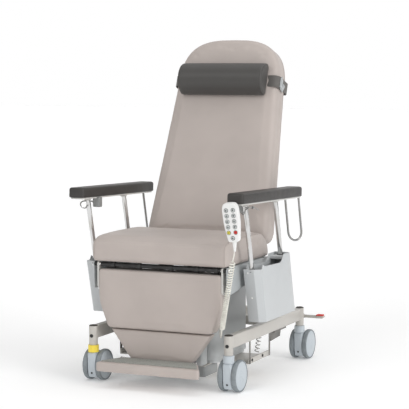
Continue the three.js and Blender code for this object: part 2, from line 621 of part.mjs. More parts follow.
function sidePocket(sx) {
  const lean = (shape, z0, z1) => leaned(alongZ(shape, z0, z1), POCKET_LEAN, POCKET_TOP);
  const shell = toManifold(lean(pocketOutline(sx, 0), POCKET_LOW, POCKET_TOP));
  const hollow = toManifold(lean(pocketOutline(sx, POCKET_WALL), POCKET_LOW + POCKET_WALL, POCKET_TOP + 5));
  // decks that guide the two posts
  const inX = sx * (POCKET_IN + 1);
  const outX = sx * (POCKET_OUT - 1);
  const inside = toManifold(lean(pocketOutline(sx, 1), POCKET_LOW, POCKET_TOP));
  const frontDeck = toManifold(block(inX, outX, POCKET_FRONT - 10, -232, 448, 460));
  const rearDeck = toManifold(block(inX, outX, -14, POCKET_REAR + 30, 478, 490));
  const top = new THREE.Shape();
  top.moveTo(-330, POCKET_LOW - 5);
  for (const [y, z] of [[-330, 467], [-256, 467], [-244, 484], [-224, 475], [-69, 471]]) top.lineTo(y, z);
  top.quadraticCurveTo(-40, 471, -26, POCKET_TOP);
  top.lineTo(160, POCKET_TOP);
  top.lineTo(160, POCKET_LOW - 5);
  let body = shell.subtract(hollow).add(frontDeck.add(rearDeck).intersect(inside));
  body = body.intersect(toManifold(alongX(top, sx * (POCKET_IN - 5), sx * (POCKET_OUT + 5), 4)));
  for (const y of [FRONT_POST_Y, REAR_POST_Y]) {
    const x = sx * (ARM_X + 1);
    const bore = bar([x, postPoint(y, 520), 520], [x, postPoint(y, 430), 430], ARM_POST_R + 1, 16);
    body = body.subtract(toManifold(bore));
  }
  return toGeometry(body);
}
for (const [side, sx] of sides) add(`side_pocket_${side}`, sidePocket(sx), materials.pocket);

// ---------------------------------------------------------------- back section
// Local axes: x along X, y up along the face, z out of the face towards the sitter.
const back = new THREE.Group();
back.position.set(0, BACK_Y, BACK_Z);
back.rotation.x = Math.PI / 2 - BACK_TILT;
chair.add(back);

function backOutline(inset) {
  const shape = new THREE.Shape();
  const low = BACK_HALF_LOW - inset;
  const shoulder = BACK_HALF_SHOULDER - inset;
  shape.moveTo(-low + 25, BACK_LOW + inset);
  shape.lineTo(low - 25, BACK_LOW + inset);
  shape.quadraticCurveTo(low, BACK_LOW + inset, low - 1, BACK_LOW + inset + 30);
  shape.lineTo(shoulder, BACK_SHOULDER);
  const steps = 14;
  for (let i = 1; i < steps; i += 1) {
    const a = (i * Math.PI) / steps;
    const x = Math.sign(Math.cos(a)) * Math.abs(Math.cos(a)) ** BACK_ROUND;
    shape.lineTo(shoulder * x, BACK_SHOULDER + (BACK_TOP - inset - BACK_SHOULDER) * Math.sin(a) ** BACK_ROUND);
  }
  shape.lineTo(-shoulder, BACK_SHOULDER);
  shape.lineTo(-low + 1, BACK_LOW + inset + 30);
  shape.quadraticCurveTo(-low, BACK_LOW + inset, -low + 25, BACK_LOW + inset);
  return shape;
}

add('backrest_cushion', alongZ(backOutline(0), -BACK_T, 0, 4), materials.upholstery, back);

// The pivot in the back section's own axes.
const pivotLocal = new THREE.Vector2(
  (BACK_PIVOT_Y - BACK_Y) * Math.sin(BACK_TILT) + (BACK_PIVOT_Z - BACK_Z) * Math.cos(BACK_TILT),
  -(BACK_PIVOT_Y - BACK_Y) * Math.cos(BACK_TILT) + (BACK_PIVOT_Z - BACK_Z) * Math.sin(BACK_TILT));

function backShell() {
  const front = -BACK_T - GAP;
  const keep = [alongZ(backOutline(14), front - BACK_SHELL_T, front, 3)];
  const cut = [];
  const [ps, pz] = pivotLocal.toArray();
  for (const [, sx] of sides) {
    const lug = new THREE.Shape(); // (s, z) outline
    lug.moveTo(60, front);
    lug.lineTo(BACK_LOW - 8, front);
    lug.absarc(ps, pz, 15, 0.1, 1.5 * Math.PI, false);
    lug.lineTo(BACK_LOW + 10, front - 30);
    lug.lineTo(60, front - BACK_SHELL_T);
    keep.push(alongX(lug, sx * 188, sx * 196));
    cut.push(bar([sx * 180, ps, pz], [sx * 205, ps, pz], PIVOT_R + RUN, 16));
  }
  // lever for the actuator, beside the rod's end
  const lever = outline([[20, front - 5], [BACK_LOW - 2, front - 1], [ps - 46, pz - 26], [ps - 60, pz - 40],
    [ps - 20, pz - 40], [20, front - BACK_SHELL_T]]);
  keep.push(alongX(lever, BACK_ACTUATOR_X - 24, BACK_ACTUATOR_X - 18));
  return carve(keep, cut);
}
add('backrest_shell', backShell(), materials.cover, back);

function pushHandle() {
  const z0 = -BACK_T - BACK_SHELL_T - 2 * GAP;
  const s = 520;
  return rod([[-165, s, z0], [-165, s, z0 - 22], [-150, s, z0 - 48], [-118, s, z0 - 58], [0, s, z0 - 58],
    [118, s, z0 - 58], [150, s, z0 - 48], [165, s, z0 - 22], [165, s, z0]], 11, 10, 18);
}
add('push_handle', pushHandle(), materials.chrome, back);

function headPillow() {
  const shape = new THREE.Shape(); // (s, z) outline, a D with its flat side on the back
  const h = PILLOW_H / 2;
  const z0 = STRAP_T + 2 * GAP;
  shape.moveTo(PILLOW_S - h + 12, z0);
  shape.absellipse(PILLOW_S, z0 + 10, h, PILLOW_DEPTH - 10, Math.PI + 0.12, 0 - 0.12, true);
  shape.lineTo(PILLOW_S + h - 12, z0);
  return alongX(shape, -PILLOW_LEN / 2, PILLOW_LEN / 2, 8);
}
add('head_pillow', headPillow(), materials.pillow, back);

function pillowStrap() {
  const halfAt = BACK_HALF_SHOULDER + 4;
  const rear = -BACK_T - BACK_SHELL_T - 2 * GAP;
  const outer = roundedRect(-halfAt - STRAP_T, halfAt + STRAP_T, rear - STRAP_T, STRAP_T + GAP, 8);
  const inner = roundedRect(-halfAt, halfAt, rear, GAP, 6);
  outer.holes.push(new THREE.Path(inner.getPoints(3).reverse()));
  return alongY(outer, PILLOW_S - STRAP_W / 2, PILLOW_S + STRAP_W / 2, 3);
}
add('pillow_strap', pillowStrap(), materials.black, back);

// ---------------------------------------------------------------- leg section
function taper(halfTop, halfLow, top, low, y0, y1, bevel) {
  const shape = outline([[-halfLow + bevel, low], [halfLow - bevel, low], [halfLow, low + bevel],
    [halfTop, top - bevel], [halfTop - bevel, top], [-halfTop + bevel, top], [-halfTop, top - bevel],
    [-halfLow, low + bevel]]);
  return alongY(shape, y0, y1);
}

function calfPad() {
  const body = toManifold(taper(CALF_HALF_TOP, CALF_HALF_LOW, CALF_TOP, CALF_LOW, CALF_FRONT, CALF_REAR, 8));
  const side = outline([[CALF_FRONT - 1, CALF_LOW + 12], [CALF_FRONT + 12, CALF_LOW - 1],
    [CALF_REAR + 1, CALF_LOW - 1], [CALF_REAR + 1, CALF_TOP + 1], [CALF_FRONT + 13, CALF_TOP + 1],
    [CALF_FRONT - 1, CALF_TOP - 13]]);
  return toGeometry(body.intersect(toManifold(alongX(side, -CALF_HALF_TOP - 5, CALF_HALF_TOP + 5))));
}
add('calf_pad', calfPad(), materials.upholstery);

function legrestFrame() {
  const plateRear = LEG_PLATE_Y + LEG_PLATE_T;
  const keep = [block(-200, 200, LEG_PLATE_Y, plateRear, 300, CHANNEL_TOP),
    block(-LEG_SIDE_X - 6, LEG_SIDE_X + 6, LEG_PLATE_Y, plateRear, 385, 430)];
  const cut = [];
  for (const [, sx] of sides) {
    const plate = new THREE.Shape();
    const r = 11;
    plate.absarc(LEG_PIVOT_Y, LEG_PIVOT_Z, r, -0.1, 1.1 * Math.PI);
    plate.lineTo(LEG_PIVOT_Y - 10, 388);
    plate.quadraticCurveTo(LEG_PIVOT_Y - 6, 374, LEG_PIVOT_Y + 10, 375);
    plate.lineTo(plateRear, 385);
    plate.lineTo(plateRear, 432);
    keep.push(alongX(plate, sx * LEG_SIDE_X, sx * (LEG_SIDE_X + 6)));
    cut.push(bar([sx * (LEG_SIDE_X - 4), LEG_PIVOT_Y, LEG_PIVOT_Z], [sx * (LEG_SIDE_X + 10), LEG_PIVOT_Y, LEG_PIVOT_Z],
      PIVOT_R + RUN, 16));
    const x = sx * SLIDE_X;
    keep.push(block(x - CHANNEL_W / 2, x + CHANNEL_W / 2, plateRear - 1, plateRear - 1 + CHANNEL_D,
      CHANNEL_LOW, CHANNEL_TOP));
    cut.push(block(x - CHANNEL_W / 2 + CHANNEL_WALL, x + CHANNEL_W / 2 - CHANNEL_WALL,
      plateRear - 1 + CHANNEL_WALL, plateRear - 1 + CHANNEL_D - CHANNEL_WALL, CHANNEL_LOW - 5, CHANNEL_TOP + 5));
  }
  // lug beside the actuator rod's end
  keep.push(block(LEG_ACTUATOR_X + 14, LEG_ACTUATOR_X + 20, plateRear - 1, plateRear + 18, 396, 424));
  return carve(keep, cut);
}
add('legrest_frame', legrestFrame(), materials.cover);

function footFrame() {
  const channelY = LEG_PLATE_Y + LEG_PLATE_T - 1 + CHANNEL_WALL;
  const y0 = channelY + SLIDE_PLAY;
  const y1 = channelY + CHANNEL_D - 2 * CHANNEL_WALL - SLIDE_PLAY;
  const padRear = LOWER_PAD_FRONT + LOWER_PAD_T + GAP;
  const keep = [
    block(-LOWER_PLATE_HALF, LOWER_PLATE_HALF, FOOT_REAR + 6, padRear + 5, FOOT_LOW + 8, FOOT_TOP - 6),
    block(-LOWER_PLATE_HALF, LOWER_PLATE_HALF, padRear, padRear + 5, FOOT_LOW + 8, LOWER_PAD_TOP - 6),
    block(-SLIDE_X, SLIDE_X, padRear, padRear + 5, STRUT_LOW, LOWER_PAD_TOP - 6),
  ];
  for (const [, sx] of sides) {
    const half = CHANNEL_W / 2 - CHANNEL_WALL - SLIDE_PLAY;
    const x = sx * SLIDE_X;
    keep.push(block(x - half, x + half, y0, y1, STRUT_LOW, CHANNEL_TOP - 20));
    keep.push(block(x - half, x + half, padRear + 2, y1, STRUT_LOW, LOWER_PAD_TOP - 6));
  }
  return carve(keep);
}
add('foot_frame', footFrame(), materials.steel);
add('lower_leg_pad', taper(LOWER_PAD_HALF_TOP, LOWER_PAD_HALF_LOW, LOWER_PAD_TOP, LOWER_PAD_LOW,
  LOWER_PAD_FRONT, LOWER_PAD_FRONT + LOWER_PAD_T, 6), materials.upholstery);

// Footplate: a padded tapered board that folds up about its rear edge.
function footplate() {
  const plan = outline([[-FOOT_HALF_FRONT + 6, FOOT_FRONT], [FOOT_HALF_FRONT - 6, FOOT_FRONT],
    [FOOT_HALF_FRONT, FOOT_FRONT + 8], [FOOT_HALF_REAR, FOOT_REAR], [-FOOT_HALF_REAR, FOOT_REAR],
    [-FOOT_HALF_FRONT, FOOT_FRONT + 8]]);
  const side = new THREE.Shape();
  side.moveTo(FOOT_REAR + 2, FOOT_LOW - 1);
  side.lineTo(FOOT_REAR + 2, FOOT_TOP - 1.5);
  side.lineTo(FOOT_FRONT + 16, FOOT_TOP - 1.5);
  side.quadraticCurveTo(FOOT_FRONT + 1, FOOT_TOP - 2, FOOT_FRONT - 1, FOOT_TOP - 16);
  side.lineTo(FOOT_FRONT - 1, FOOT_LOW - 1);
  const board = toManifold(alongZ(plan, FOOT_LOW, FOOT_TOP));
  return toGeometry(board.intersect(toManifold(alongX(side, -260, 260, 4))));
}
add('footplate', footplate(), materials.upholstery);

function footplateMat() {
  const inset = 9;
  const slope = (FOOT_HALF_FRONT - FOOT_HALF_REAR) / (FOOT_REAR - FOOT_FRONT);
  const front = FOOT_FRONT + 20;
  const halfFront = FOOT_HALF_FRONT - slope * 20 - inset;
  return alongZ(outline([[-halfFront, front], [halfFront, front], [FOOT_HALF_REAR - inset, FOOT_REAR + GAP - 2],
    [-FOOT_HALF_REAR + inset, FOOT_REAR + GAP - 2]]), FOOT_TOP - 1.5 + GAP, FOOT_TOP + 0.8);
}
add('footplate_mat', footplateMat(), materials.mat);

// ---------------------------------------------------------------- armrests
const armTilt = (geometry) => geometry.translate(0, -ARM_FRONT, -ARM_Z).rotateX(-ARM_SLOPE)
  .translate(0, ARM_FRONT, ARM_Z);

function armPad(sx) {
  const x = sx * ARM_X;
  const plan = roundedRect(x - ARM_PAD_W / 2, x + ARM_PAD_W / 2, ARM_FRONT, ARM_REAR, 14);
  const body = toManifold(alongZ(plan, ARM_Z + GAP, ARM_Z + ARM_PAD_T, 4));
  const c = 9;
  const section = outline([[x - ARM_PAD_W / 2 - 1, ARM_Z - 1], [x + ARM_PAD_W / 2 + 1, ARM_Z - 1],
    [x + ARM_PAD_W / 2 + 1, ARM_Z + ARM_PAD_T - c], [x + ARM_PAD_W / 2 - c, ARM_Z + ARM_PAD_T + 1],
    [x - ARM_PAD_W / 2 + c, ARM_Z + ARM_PAD_T + 1], [x - ARM_PAD_W / 2 - 1, ARM_Z + ARM_PAD_T - c]]);
  const trimmed = body.intersect(toManifold(alongY(section, ARM_FRONT - 5, ARM_REAR + 5)));
  return armTilt(toGeometry(trimmed));
}

// Under-plate, two posts, the hanging loop and the latch block, as one welded frame.
function armFrame(sx) {
  const x = sx * (ARM_X + 1);
  const plate = roundedRect(x - ARM_PAD_W / 2 + 5, x + ARM_PAD_W / 2 - 5, ARM_FRONT + 8, ARM_REAR - 4, 12);
  const keep = [armTilt(alongZ(plate, ARM_Z - ARM_PLATE_T, ARM_Z, 3))];
  // each post: its y at ARM_POST_TOP, its lower end and its upper end inside the plate
  for (const [y, low, high] of [[FRONT_POST_Y, ARM_POST_LOW, ARM_Z - 7],
    [REAR_POST_Y, ARM_POST_LOW + 16, ARM_Z - 15]]) {
    keep.push(bar([x, postPoint(y, high), high], [x, postPoint(y, low), low], ARM_POST_R, 16));
  }
  const top = ARM_Z - 20;
  const points = [];
  const drop = (across, z) => {
    const y = LOOP_Y + (top - z) * ARM_LEAN;
    points.push([x + sx * across * Math.sin(LOOP_TURN), y + across * Math.cos(LOOP_TURN), z]);
  };
  const bendZ = top - LOOP_DROP + LOOP_HALF;
  for (const z of [top, top - 30, (top + bendZ) / 2, bendZ + 12]) drop(-LOOP_HALF, z);
  for (let i = 0; i <= 6; i += 1) {
    const a = (i * Math.PI) / 6;
    drop(-LOOP_HALF * Math.cos(a), bendZ - LOOP_HALF * Math.sin(a));
  }
  for (const z of [bendZ + 12, (top + bendZ) / 2, top - 30, top]) drop(LOOP_HALF, z);
  keep.push(rod(points, LOOP_R, 8, 22));
  const latchX = sx * (ARM_X - 24);
  keep.push(block(latchX - 14, latchX + 14, FRONT_POST_Y + 20, FRONT_POST_Y + 50, ARM_Z - 46, ARM_Z - ARM_PLATE_T));
  return carve(keep);
}

// Release lever: a finger loop in front of the post and a thin tail through the latch block's side.
function armLever(sx) {
  const x = sx * (ARM_X + 17);
  const keep = [rod([[x, LEVER_Y + 4, LEVER_Z], [x, LEVER_Y - 30, LEVER_Z + 3], [x, FRONT_POST_Y - 26, LEVER_Z],
    [x - sx * 3, FRONT_POST_Y - 36, LEVER_Z - 12], [x - sx * 12, FRONT_POST_Y - 30, LEVER_Z - 22],
    [x - sx * 20, FRONT_POST_Y - 22, LEVER_Z - 20], [x - sx * 24, FRONT_POST_Y - 20, LEVER_Z - 10]], LEVER_R, 8, 14)];
  keep.push(bar([x, LEVER_Y, LEVER_Z], [sx * (ARM_X - 8), LEVER_Y, LEVER_Z], LEVER_R, 8));
  keep.push(rod([[x, LEVER_Y, LEVER_Z], [x, LEVER_Y + 26, LEVER_Z - 4], [x, LEVER_Y + 62, LEVER_Z - 14]], 1.8, 6, 8));
  return carve(keep);
}

for (const [side, sx] of sides) {
  add(`arm_frame_${side}`, armFrame(sx), materials.chrome);
  add(`arm_pad_${side}`, armPad(sx), materials.darkUpholstery);
  add(`arm_lever_${side}`, armLever(sx), materials.steel);
}

// ---------------------------------------------------------------- handset
// Local axes: x along X, y up the handset, z out of its face.
const handset = new THREE.Group();
handset.position.set(HANDSET_X, HANDSET_Y, HANDSET_Z);
handset.rotation.set(Math.PI / 2 + HANDSET_LEAN, 0, HANDSET_ROLL);
chair.add(handset);

const BUTTONS = [];
for (let row = 0; row < 5; row += 1) {
  for (const column of [-0.5, 0.5]) {
    BUTTONS.push([column * BUTTON_PITCH_X, BUTTON_FIRST - row * BUTTON_PITCH_Z]);
  }
}
BUTTONS.push([0, BUTTON_FIRST - 5 * BUTTON_PITCH_Z]);
const buttonColour = (i) => (i === 8 ? materials.yellow : i === 9 ? materials.red : materials.buttonGrey);

function handsetBody() {
  const w = HANDSET_W / 2;
  const h = HANDSET_H / 2;
  const shape = new THREE.Shape();
  shape.moveTo(-w * 0.5, -h);
  shape.lineTo(w * 0.5, -h);
  shape.quadraticCurveTo(w * 0.68, -h + 2, w * 0.76, -h + 22);
  shape.lineTo(w, -h + 70);
  shape.lineTo(w, h - 26);
  shape.quadraticCurveTo(w, h, w * 0.35, h);
  shape.lineTo(-w * 0.35, h);
  shape.quadraticCurveTo(-w, h, -w, h - 26);
  shape.lineTo(-w, -h + 70);
  shape.lineTo(-w * 0.76, -h + 22);
  shape.quadraticCurveTo(-w * 0.68, -h + 2, -w * 0.5, -h);
  const keep = [alongZ(shape, -HANDSET_T / 2, HANDSET_T / 2, 4),
    bar([0, -h + 3, 0], [-RELIEF_BEND, -h - RELIEF_LENGTH, 0], 8.5, 12, 4)];
  const cut = BUTTONS.map(([x, y]) => bar([x, y, HANDSET_T / 2 - BUTTON_DEEP - 1.6],
    [x, y, HANDSET_T / 2 + 2], BUTTON_R + 0.4, 12));
  return carve(keep, cut);
}
add('handset_body', handsetBody(), materials.white, handset);
BUTTONS.forEach(([x, y], i) => {
  const z = HANDSET_T / 2;
  const number = String(i + 1).padStart(2, '0');
  add(`handset_button_${number}`, bar([x, y, z - BUTTON_DEEP], [x, y, z + BUTTON_PROUD], BUTTON_R, 12),
    buttonColour(i), handset);
});

// ---------------------------------------------------------------- handset cord
function cordTube(points, sidesCount, steps) {
  return rod(points, CORD_R, sidesCount, steps);
}
add('cord_lead', cordTube(CORD_LEAD, 8, 6), materials.cord);
add('cord_coil', bar(COIL_TOP, COIL_END, COIL_R, 10), materials.cord);
add('cord_tail', cordTube(CORD_TAIL, 8, 28), materials.cord);

// ---------------------------------------------------------------- origin
chair.updateMatrixWorld(true);
const extent = new THREE.Box3().setFromObject(chair);
chair.position.y = -(extent.min.y + extent.max.y) / 2;
chair.position.x = -(extent.min.x + extent.max.x) / 2;
chair.updateMatrixWorld(true);

export default chair;
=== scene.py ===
"""Patient recliner chair: the finished surfaces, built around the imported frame.

Pieces are drawn in millimetres about the floor point between the four base posts, and are moved to
metres in the frame's own axes when they are finished. -Y is the front, +Z is up.
"""

import math

import bmesh
import bpy
from mathutils import Matrix, Vector
from mathutils.bvhtree import BVHTree
from mathutils.kdtree import KDTree


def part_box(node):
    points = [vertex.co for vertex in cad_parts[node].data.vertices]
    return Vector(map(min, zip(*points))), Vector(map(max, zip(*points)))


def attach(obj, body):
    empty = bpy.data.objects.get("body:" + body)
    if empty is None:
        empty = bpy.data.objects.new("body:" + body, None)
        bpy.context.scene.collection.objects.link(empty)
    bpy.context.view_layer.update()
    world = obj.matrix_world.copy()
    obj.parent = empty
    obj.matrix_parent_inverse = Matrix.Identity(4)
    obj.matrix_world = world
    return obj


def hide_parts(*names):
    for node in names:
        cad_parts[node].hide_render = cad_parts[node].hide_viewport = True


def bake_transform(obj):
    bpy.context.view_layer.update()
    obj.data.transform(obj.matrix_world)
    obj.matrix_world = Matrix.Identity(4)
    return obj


bl_info = {
    "name": "Patient Recliner Chair",
    "version": (1, 0, 0),
    "blender": (4, 5, 0),
    "location": "View3D > Sidebar > Recliner",
    "description": "Builds the upholstery, covers, tubes, wheels and handset of a patient recliner",
    "category": "Add Mesh",
}

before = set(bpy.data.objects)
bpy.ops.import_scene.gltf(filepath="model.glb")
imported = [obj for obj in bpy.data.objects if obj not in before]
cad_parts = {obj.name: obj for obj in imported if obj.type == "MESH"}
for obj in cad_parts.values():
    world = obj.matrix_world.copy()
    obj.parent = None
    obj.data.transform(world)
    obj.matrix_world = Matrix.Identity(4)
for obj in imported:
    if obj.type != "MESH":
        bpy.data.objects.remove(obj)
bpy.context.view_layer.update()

# ---------------------------------------------------------------- sizes taken from the frame
MM = 0.001
base_low, base_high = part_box("base_frame")
CENTRE = Vector((0, (base_low.y + base_high.y) / 2, 0))
TO_FRAME = Matrix.Translation(CENTRE) @ Matrix.Scale(MM, 4)


def span(node):
    """Lowest and highest corners of a CAD node, in the drawing's millimetres."""
    low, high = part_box(node)
    return (low - CENTRE) / MM, (high - CENTRE) / MM


POST_R = 17.5
POST_X = base_high.x / MM - POST_R
POST_Y = (base_high.y - CENTRE.y) / MM - POST_R
RAIL_TOP = 222
POST_LOW = 146.3
TRAY_BAR_FRONT = -165  # where the tray grows to its full width
BRAKE_Z = 183

BACK_TILT = math.radians(20)
BACK = Matrix.Translation((0, 52, 590)) @ Matrix.Rotation(math.pi / 2 - BACK_TILT, 4, "X")
HANDSET = (
    Matrix.Translation((333, -449, 666))
    @ Matrix.Rotation(math.radians(97), 4, "X")
    @ Matrix.Rotation(math.radians(5), 4, "Z")
)
ARM_FRONT = (0, span("arm_pad_left")[0].y, 733)
ARM = (
    Matrix.Translation(ARM_FRONT)
    @ Matrix.Rotation(math.radians(-1.6), 4, "X")
    @ Matrix.Translation((0, -ARM_FRONT[1], -ARM_FRONT[2]))
)
ARM_REAR = 199
ARM_LEAN = 0.26  # posts and pockets: rearward run per unit of drop
ARM_X = 338
CORNERS = (
    ("front_left", -1, -1),
    ("front_right", 1, -1),
    ("rear_left", -1, 1),
    ("rear_right", 1, 1),
)
SIDES = (("left", -1), ("right", 1))


# ---------------------------------------------------------------- outlines
def arc(a, b, radius, start, end, steps):
    """Points of an arc, its angles in degrees."""
    turns = [math.radians(start + (end - start) * i / steps) for i in range(steps + 1)]
    return [(a + radius * math.cos(t), b + radius * math.sin(t)) for t in turns]


def bend(start, corner, end, steps=6):
    """Points of a curve from start to end that is pulled towards corner."""
    made = []
    for i in range(steps + 1):
        t = i / steps
        weights = ((1 - t) ** 2, 2 * t * (1 - t), t * t)
        made.append(tuple(sum(w * p[k] for w, p in zip(weights, (start, corner, end))) for k in (0, 1)))
    return made


def smooth_path(points, step=4.0):
    """Points close together on a smooth curve through the given ones."""
    knots = [Vector(p) for p in points]
    ends = [2 * knots[0] - knots[1], *knots, 2 * knots[-1] - knots[-2]]
    made = []
    for a, b, c, d in zip(ends, ends[1:], ends[2:], ends[3:]):
        count = max(1, round((c - b).length / step))
        for i in range(count):
            t = i / count
            made.append(
                0.5
                * (2 * b + (c - a) * t + (2 * a - 5 * b + 4 * c - d) * t**2 + (3 * b - a - 3 * c + d) * t**3)
            )
    return [*made, knots[-1]]


# ---------------------------------------------------------------- solids
class Solid:
    """Closed shapes gathered in one mesh. Each method adds one shape."""

    def __init__(self):
        self.bm = bmesh.new()

    def take(self, bm, place=None):
        """Adds a finished shape, its faces turned outwards."""
        if place is not None:
            bmesh.ops.transform(bm, matrix=place, verts=bm.verts)
        bmesh.ops.recalc_face_normals(bm, faces=bm.faces)
        mesh = bpy.data.meshes.new("shape")
        bm.to_mesh(mesh)
        bm.free()
        self.bm.from_mesh(mesh)
        bpy.data.meshes.remove(mesh)
        return self

    def box(self, low, high, edge=1.0, segments=2, corner=0.0, axis=2, place=None):
        """A box with softened edges. The edges along one axis may have a larger corner radius."""
        bm = bmesh.new()
        bmesh.ops.create_cube(bm, size=1)
        low, high = Vector(low), Vector(high)
        bmesh.ops.scale(bm, vec=[abs(h - l) for l, h in zip(low, high)], verts=bm.verts)
        bmesh.ops.translate(bm, vec=(low + high) / 2, verts=bm.verts)
        if corner:
            along = [
                e for e in bm.edges if abs((e.verts[1].co - e.verts[0].co).normalized()[axis]) > 0.9
            ]
            round_edges(bm, along, corner, 6)
        soften(bm, edge, segments)
        return self.take(bm, place)

    def plate(self, outline, axis, start, end, edge=0.8, segments=2, place=None):
        """A flat outline given a thickness along an axis: 0 for a (y, z) outline, 1 for (x, z), 2 for (x, y)."""
        bm = bmesh.new()
        spot = {0: lambda a, b: (start, a, b), 1: lambda a, b: (a, start, b), 2: lambda a, b: (a, b, start)}
        face = bm.faces.new([bm.verts.new(spot[axis](a, b)) for a, b in outline])
        shift = Vector((0, 0, 0))
        shift[axis] = end - start
        grown = bmesh.ops.extrude_face_region(bm, geom=[face])["geom"]
        moved = [g for g in grown if isinstance(g, bmesh.types.BMVert)]
        bmesh.ops.translate(bm, vec=shift, verts=moved)
        bmesh.ops.remove_doubles(bm, verts=bm.verts, dist=0.01)
        soften(bm, edge, segments)
        return self.take(bm, place)

    def tube(self, start, end, radius, end_radius=None, edge=0.6, sides=32, place=None):
        """A round bar or a cone between two points."""
        a, b = Vector(start), Vector(end)
        bm = bmesh.new()
        bmesh.ops.create_cone(
            bm,
            cap_ends=True,
            segments=sides,
            radius1=radius,
            radius2=radius if end_radius is None else end_radius,
            depth=(b - a).length,
        )
        soften(bm, edge, 2)
        turn = Vector((0, 0, 1)).rotation_difference(b - a).to_matrix().to_4x4()
        bmesh.ops.transform(bm, matrix=Matrix.Translation((a + b) / 2) @ turn, verts=bm.verts)
        return self.take(bm, place)

    def lathe(self, profile, centre, direction=(0, 0, 1), steps=48, place=None):
        """A (radius, height) profile spun about a direction through a point."""
        bm = bmesh.new()
        points = [bm.verts.new((r, 0, h)) for r, h in profile]
        lines = [bm.edges.new(pair) for pair in zip(points, points[1:])]
        if profile[0][0] > 0.01 or profile[-1][0] > 0.01:
            lines.append(bm.edges.new((points[-1], points[0])))
        bmesh.ops.spin(
            bm,
            geom=[*points, *lines],
            cent=(0, 0, 0),
            axis=(0, 0, 1),
            angle=2 * math.pi,
            steps=steps,
            use_merge=True,
        )
        bmesh.ops.remove_doubles(bm, verts=bm.verts, dist=0.005)
        turn = Vector((0, 0, 1)).rotation_difference(Vector(direction)).to_matrix().to_4x4()
        bmesh.ops.transform(bm, matrix=Matrix.Translation(centre) @ turn, verts=bm.verts)
        return self.take(bm, place)

    def rod(self, path, radius, sides=12, width=None, across=(0, 0, 1), place=None):
        """A round rod along a path, or a flat strap where a width is given."""
        points = [Vector(p) for p in path]
        bm = bmesh.new()
        bmesh.ops.create_circle(bm, segments=sides, radius=1)
        if width is None:
            bmesh.ops.scale(bm, vec=(radius, radius, 1), verts=bm.verts)
        else:
            for v in bm.verts:
                x, y = v.co.x, v.co.y
                v.co.x = math.copysign(abs(x) ** 0.3, x) * width / 2
                v.co.y = math.copysign(abs(y) ** 0.3, y) * radius
        ahead = (points[1] - points[0]).normalized()
        side = Vector(across)
        side = (side - side.dot(ahead) * ahead).normalized()
        frame_of = Matrix((side, ahead.cross(side), ahead)).transposed().to_4x4()
        bmesh.ops.transform(bm, matrix=Matrix.Translation(points[0]) @ frame_of, verts=bm.verts)
        first = ring = list(bm.edges)
        for i in range(1, len(points)):
            grown = bmesh.ops.extrude_edge_only(bm, edges=ring)["geom"]
            verts = [g for g in grown if isinstance(g, bmesh.types.BMVert)]
            ring = [g for g in grown if isinstance(g, bmesh.types.BMEdge)]
            bmesh.ops.translate(bm, vec=points[i] - points[i - 1], verts=verts)
            next_one = points[min(i + 1, len(points) - 1)]
            turned = (next_one - points[i - 1]).normalized()
            turn = ahead.rotation_difference(turned).to_matrix()
            bmesh.ops.rotate(bm, cent=points[i], matrix=turn, verts=verts)
            ahead = turned
        for loop in (first, ring):
            bmesh.ops.contextual_create(bm, geom=loop)
        return self.take(bm, place)

    def sleeve(self, low, high, wall, corner, place=None):
        """An upright rounded tube of sheet, open at both ends."""
        bm = bmesh.new()
        bmesh.ops.create_cube(bm, size=1)
        low, high = Vector(low), Vector(high)
        bmesh.ops.scale(bm, vec=high - low, verts=bm.verts)
        bmesh.ops.translate(bm, vec=(low + high) / 2, verts=bm.verts)
        upright = [e for e in bm.edges if abs(e.verts[1].co.z - e.verts[0].co.z) > 1]
        round_edges(bm, upright, corner, 10)
        caps = [f for f in bm.faces if abs(f.normal.z) > 0.9]
        bmesh.ops.delete(bm, geom=caps, context="FACES_ONLY")
        bmesh.ops.recalc_face_normals(bm, faces=bm.faces)
        if sum(f.normal.dot(f.calc_center_median() - (low + high) / 2) for f in bm.faces) < 0:
            bmesh.ops.reverse_faces(bm, faces=bm.faces)
        bmesh.ops.solidify(bm, geom=bm.faces, thickness=wall)
        return self.take(bm, place)

    def finish(self, name, body, look, slot, replaces=(), place=None, crease=32):
        """Makes the object, which rides on a body and stands for CAD nodes."""
        mesh = bpy.data.meshes.new(name)
        bmesh.ops.transform(self.bm, matrix=TO_FRAME @ (place or Matrix.Identity(4)), verts=self.bm.verts)
        self.bm.to_mesh(mesh)
        self.bm.free()
        piece = bpy.data.objects.new(name, mesh)
        bpy.context.scene.collection.objects.link(piece)
        shade(mesh, crease)
        mesh.materials.append(look_of(look))
        if replaces:
            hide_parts(*replaces)
        if body:
            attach(piece, body)
        return piece


def round_edges(bm, edges, radius, segments):
    bmesh.ops.bevel(
        bm,
        geom=edges,
        offset=radius,
        segments=segments,
        profile=0.5,
        affect="EDGES",
        material=-1,
        clamp_overlap=True,
    )


def soften(bm, edge, segments, sharper_than=28):
    """Rounds every edge that is sharper than an angle, in degrees."""
    if edge <= 0:
        return
    bm.normal_update()
    sharp = [e for e in bm.edges if len(e.link_faces) == 2 and e.calc_face_angle() > math.radians(sharper_than)]
    if sharp:
        round_edges(bm, sharp, edge, segments)


def shade(mesh, crease):
    """Smooth shading, with an edge kept wherever two faces meet at more than the crease angle."""
    mesh.shade_smooth()
    bm = bmesh.new()
    bm.from_mesh(mesh)
    for e in bm.edges:
        e.smooth = len(e.link_faces) != 2 or e.calc_face_angle() < math.radians(crease)
    bm.to_mesh(mesh)
    bm.free()


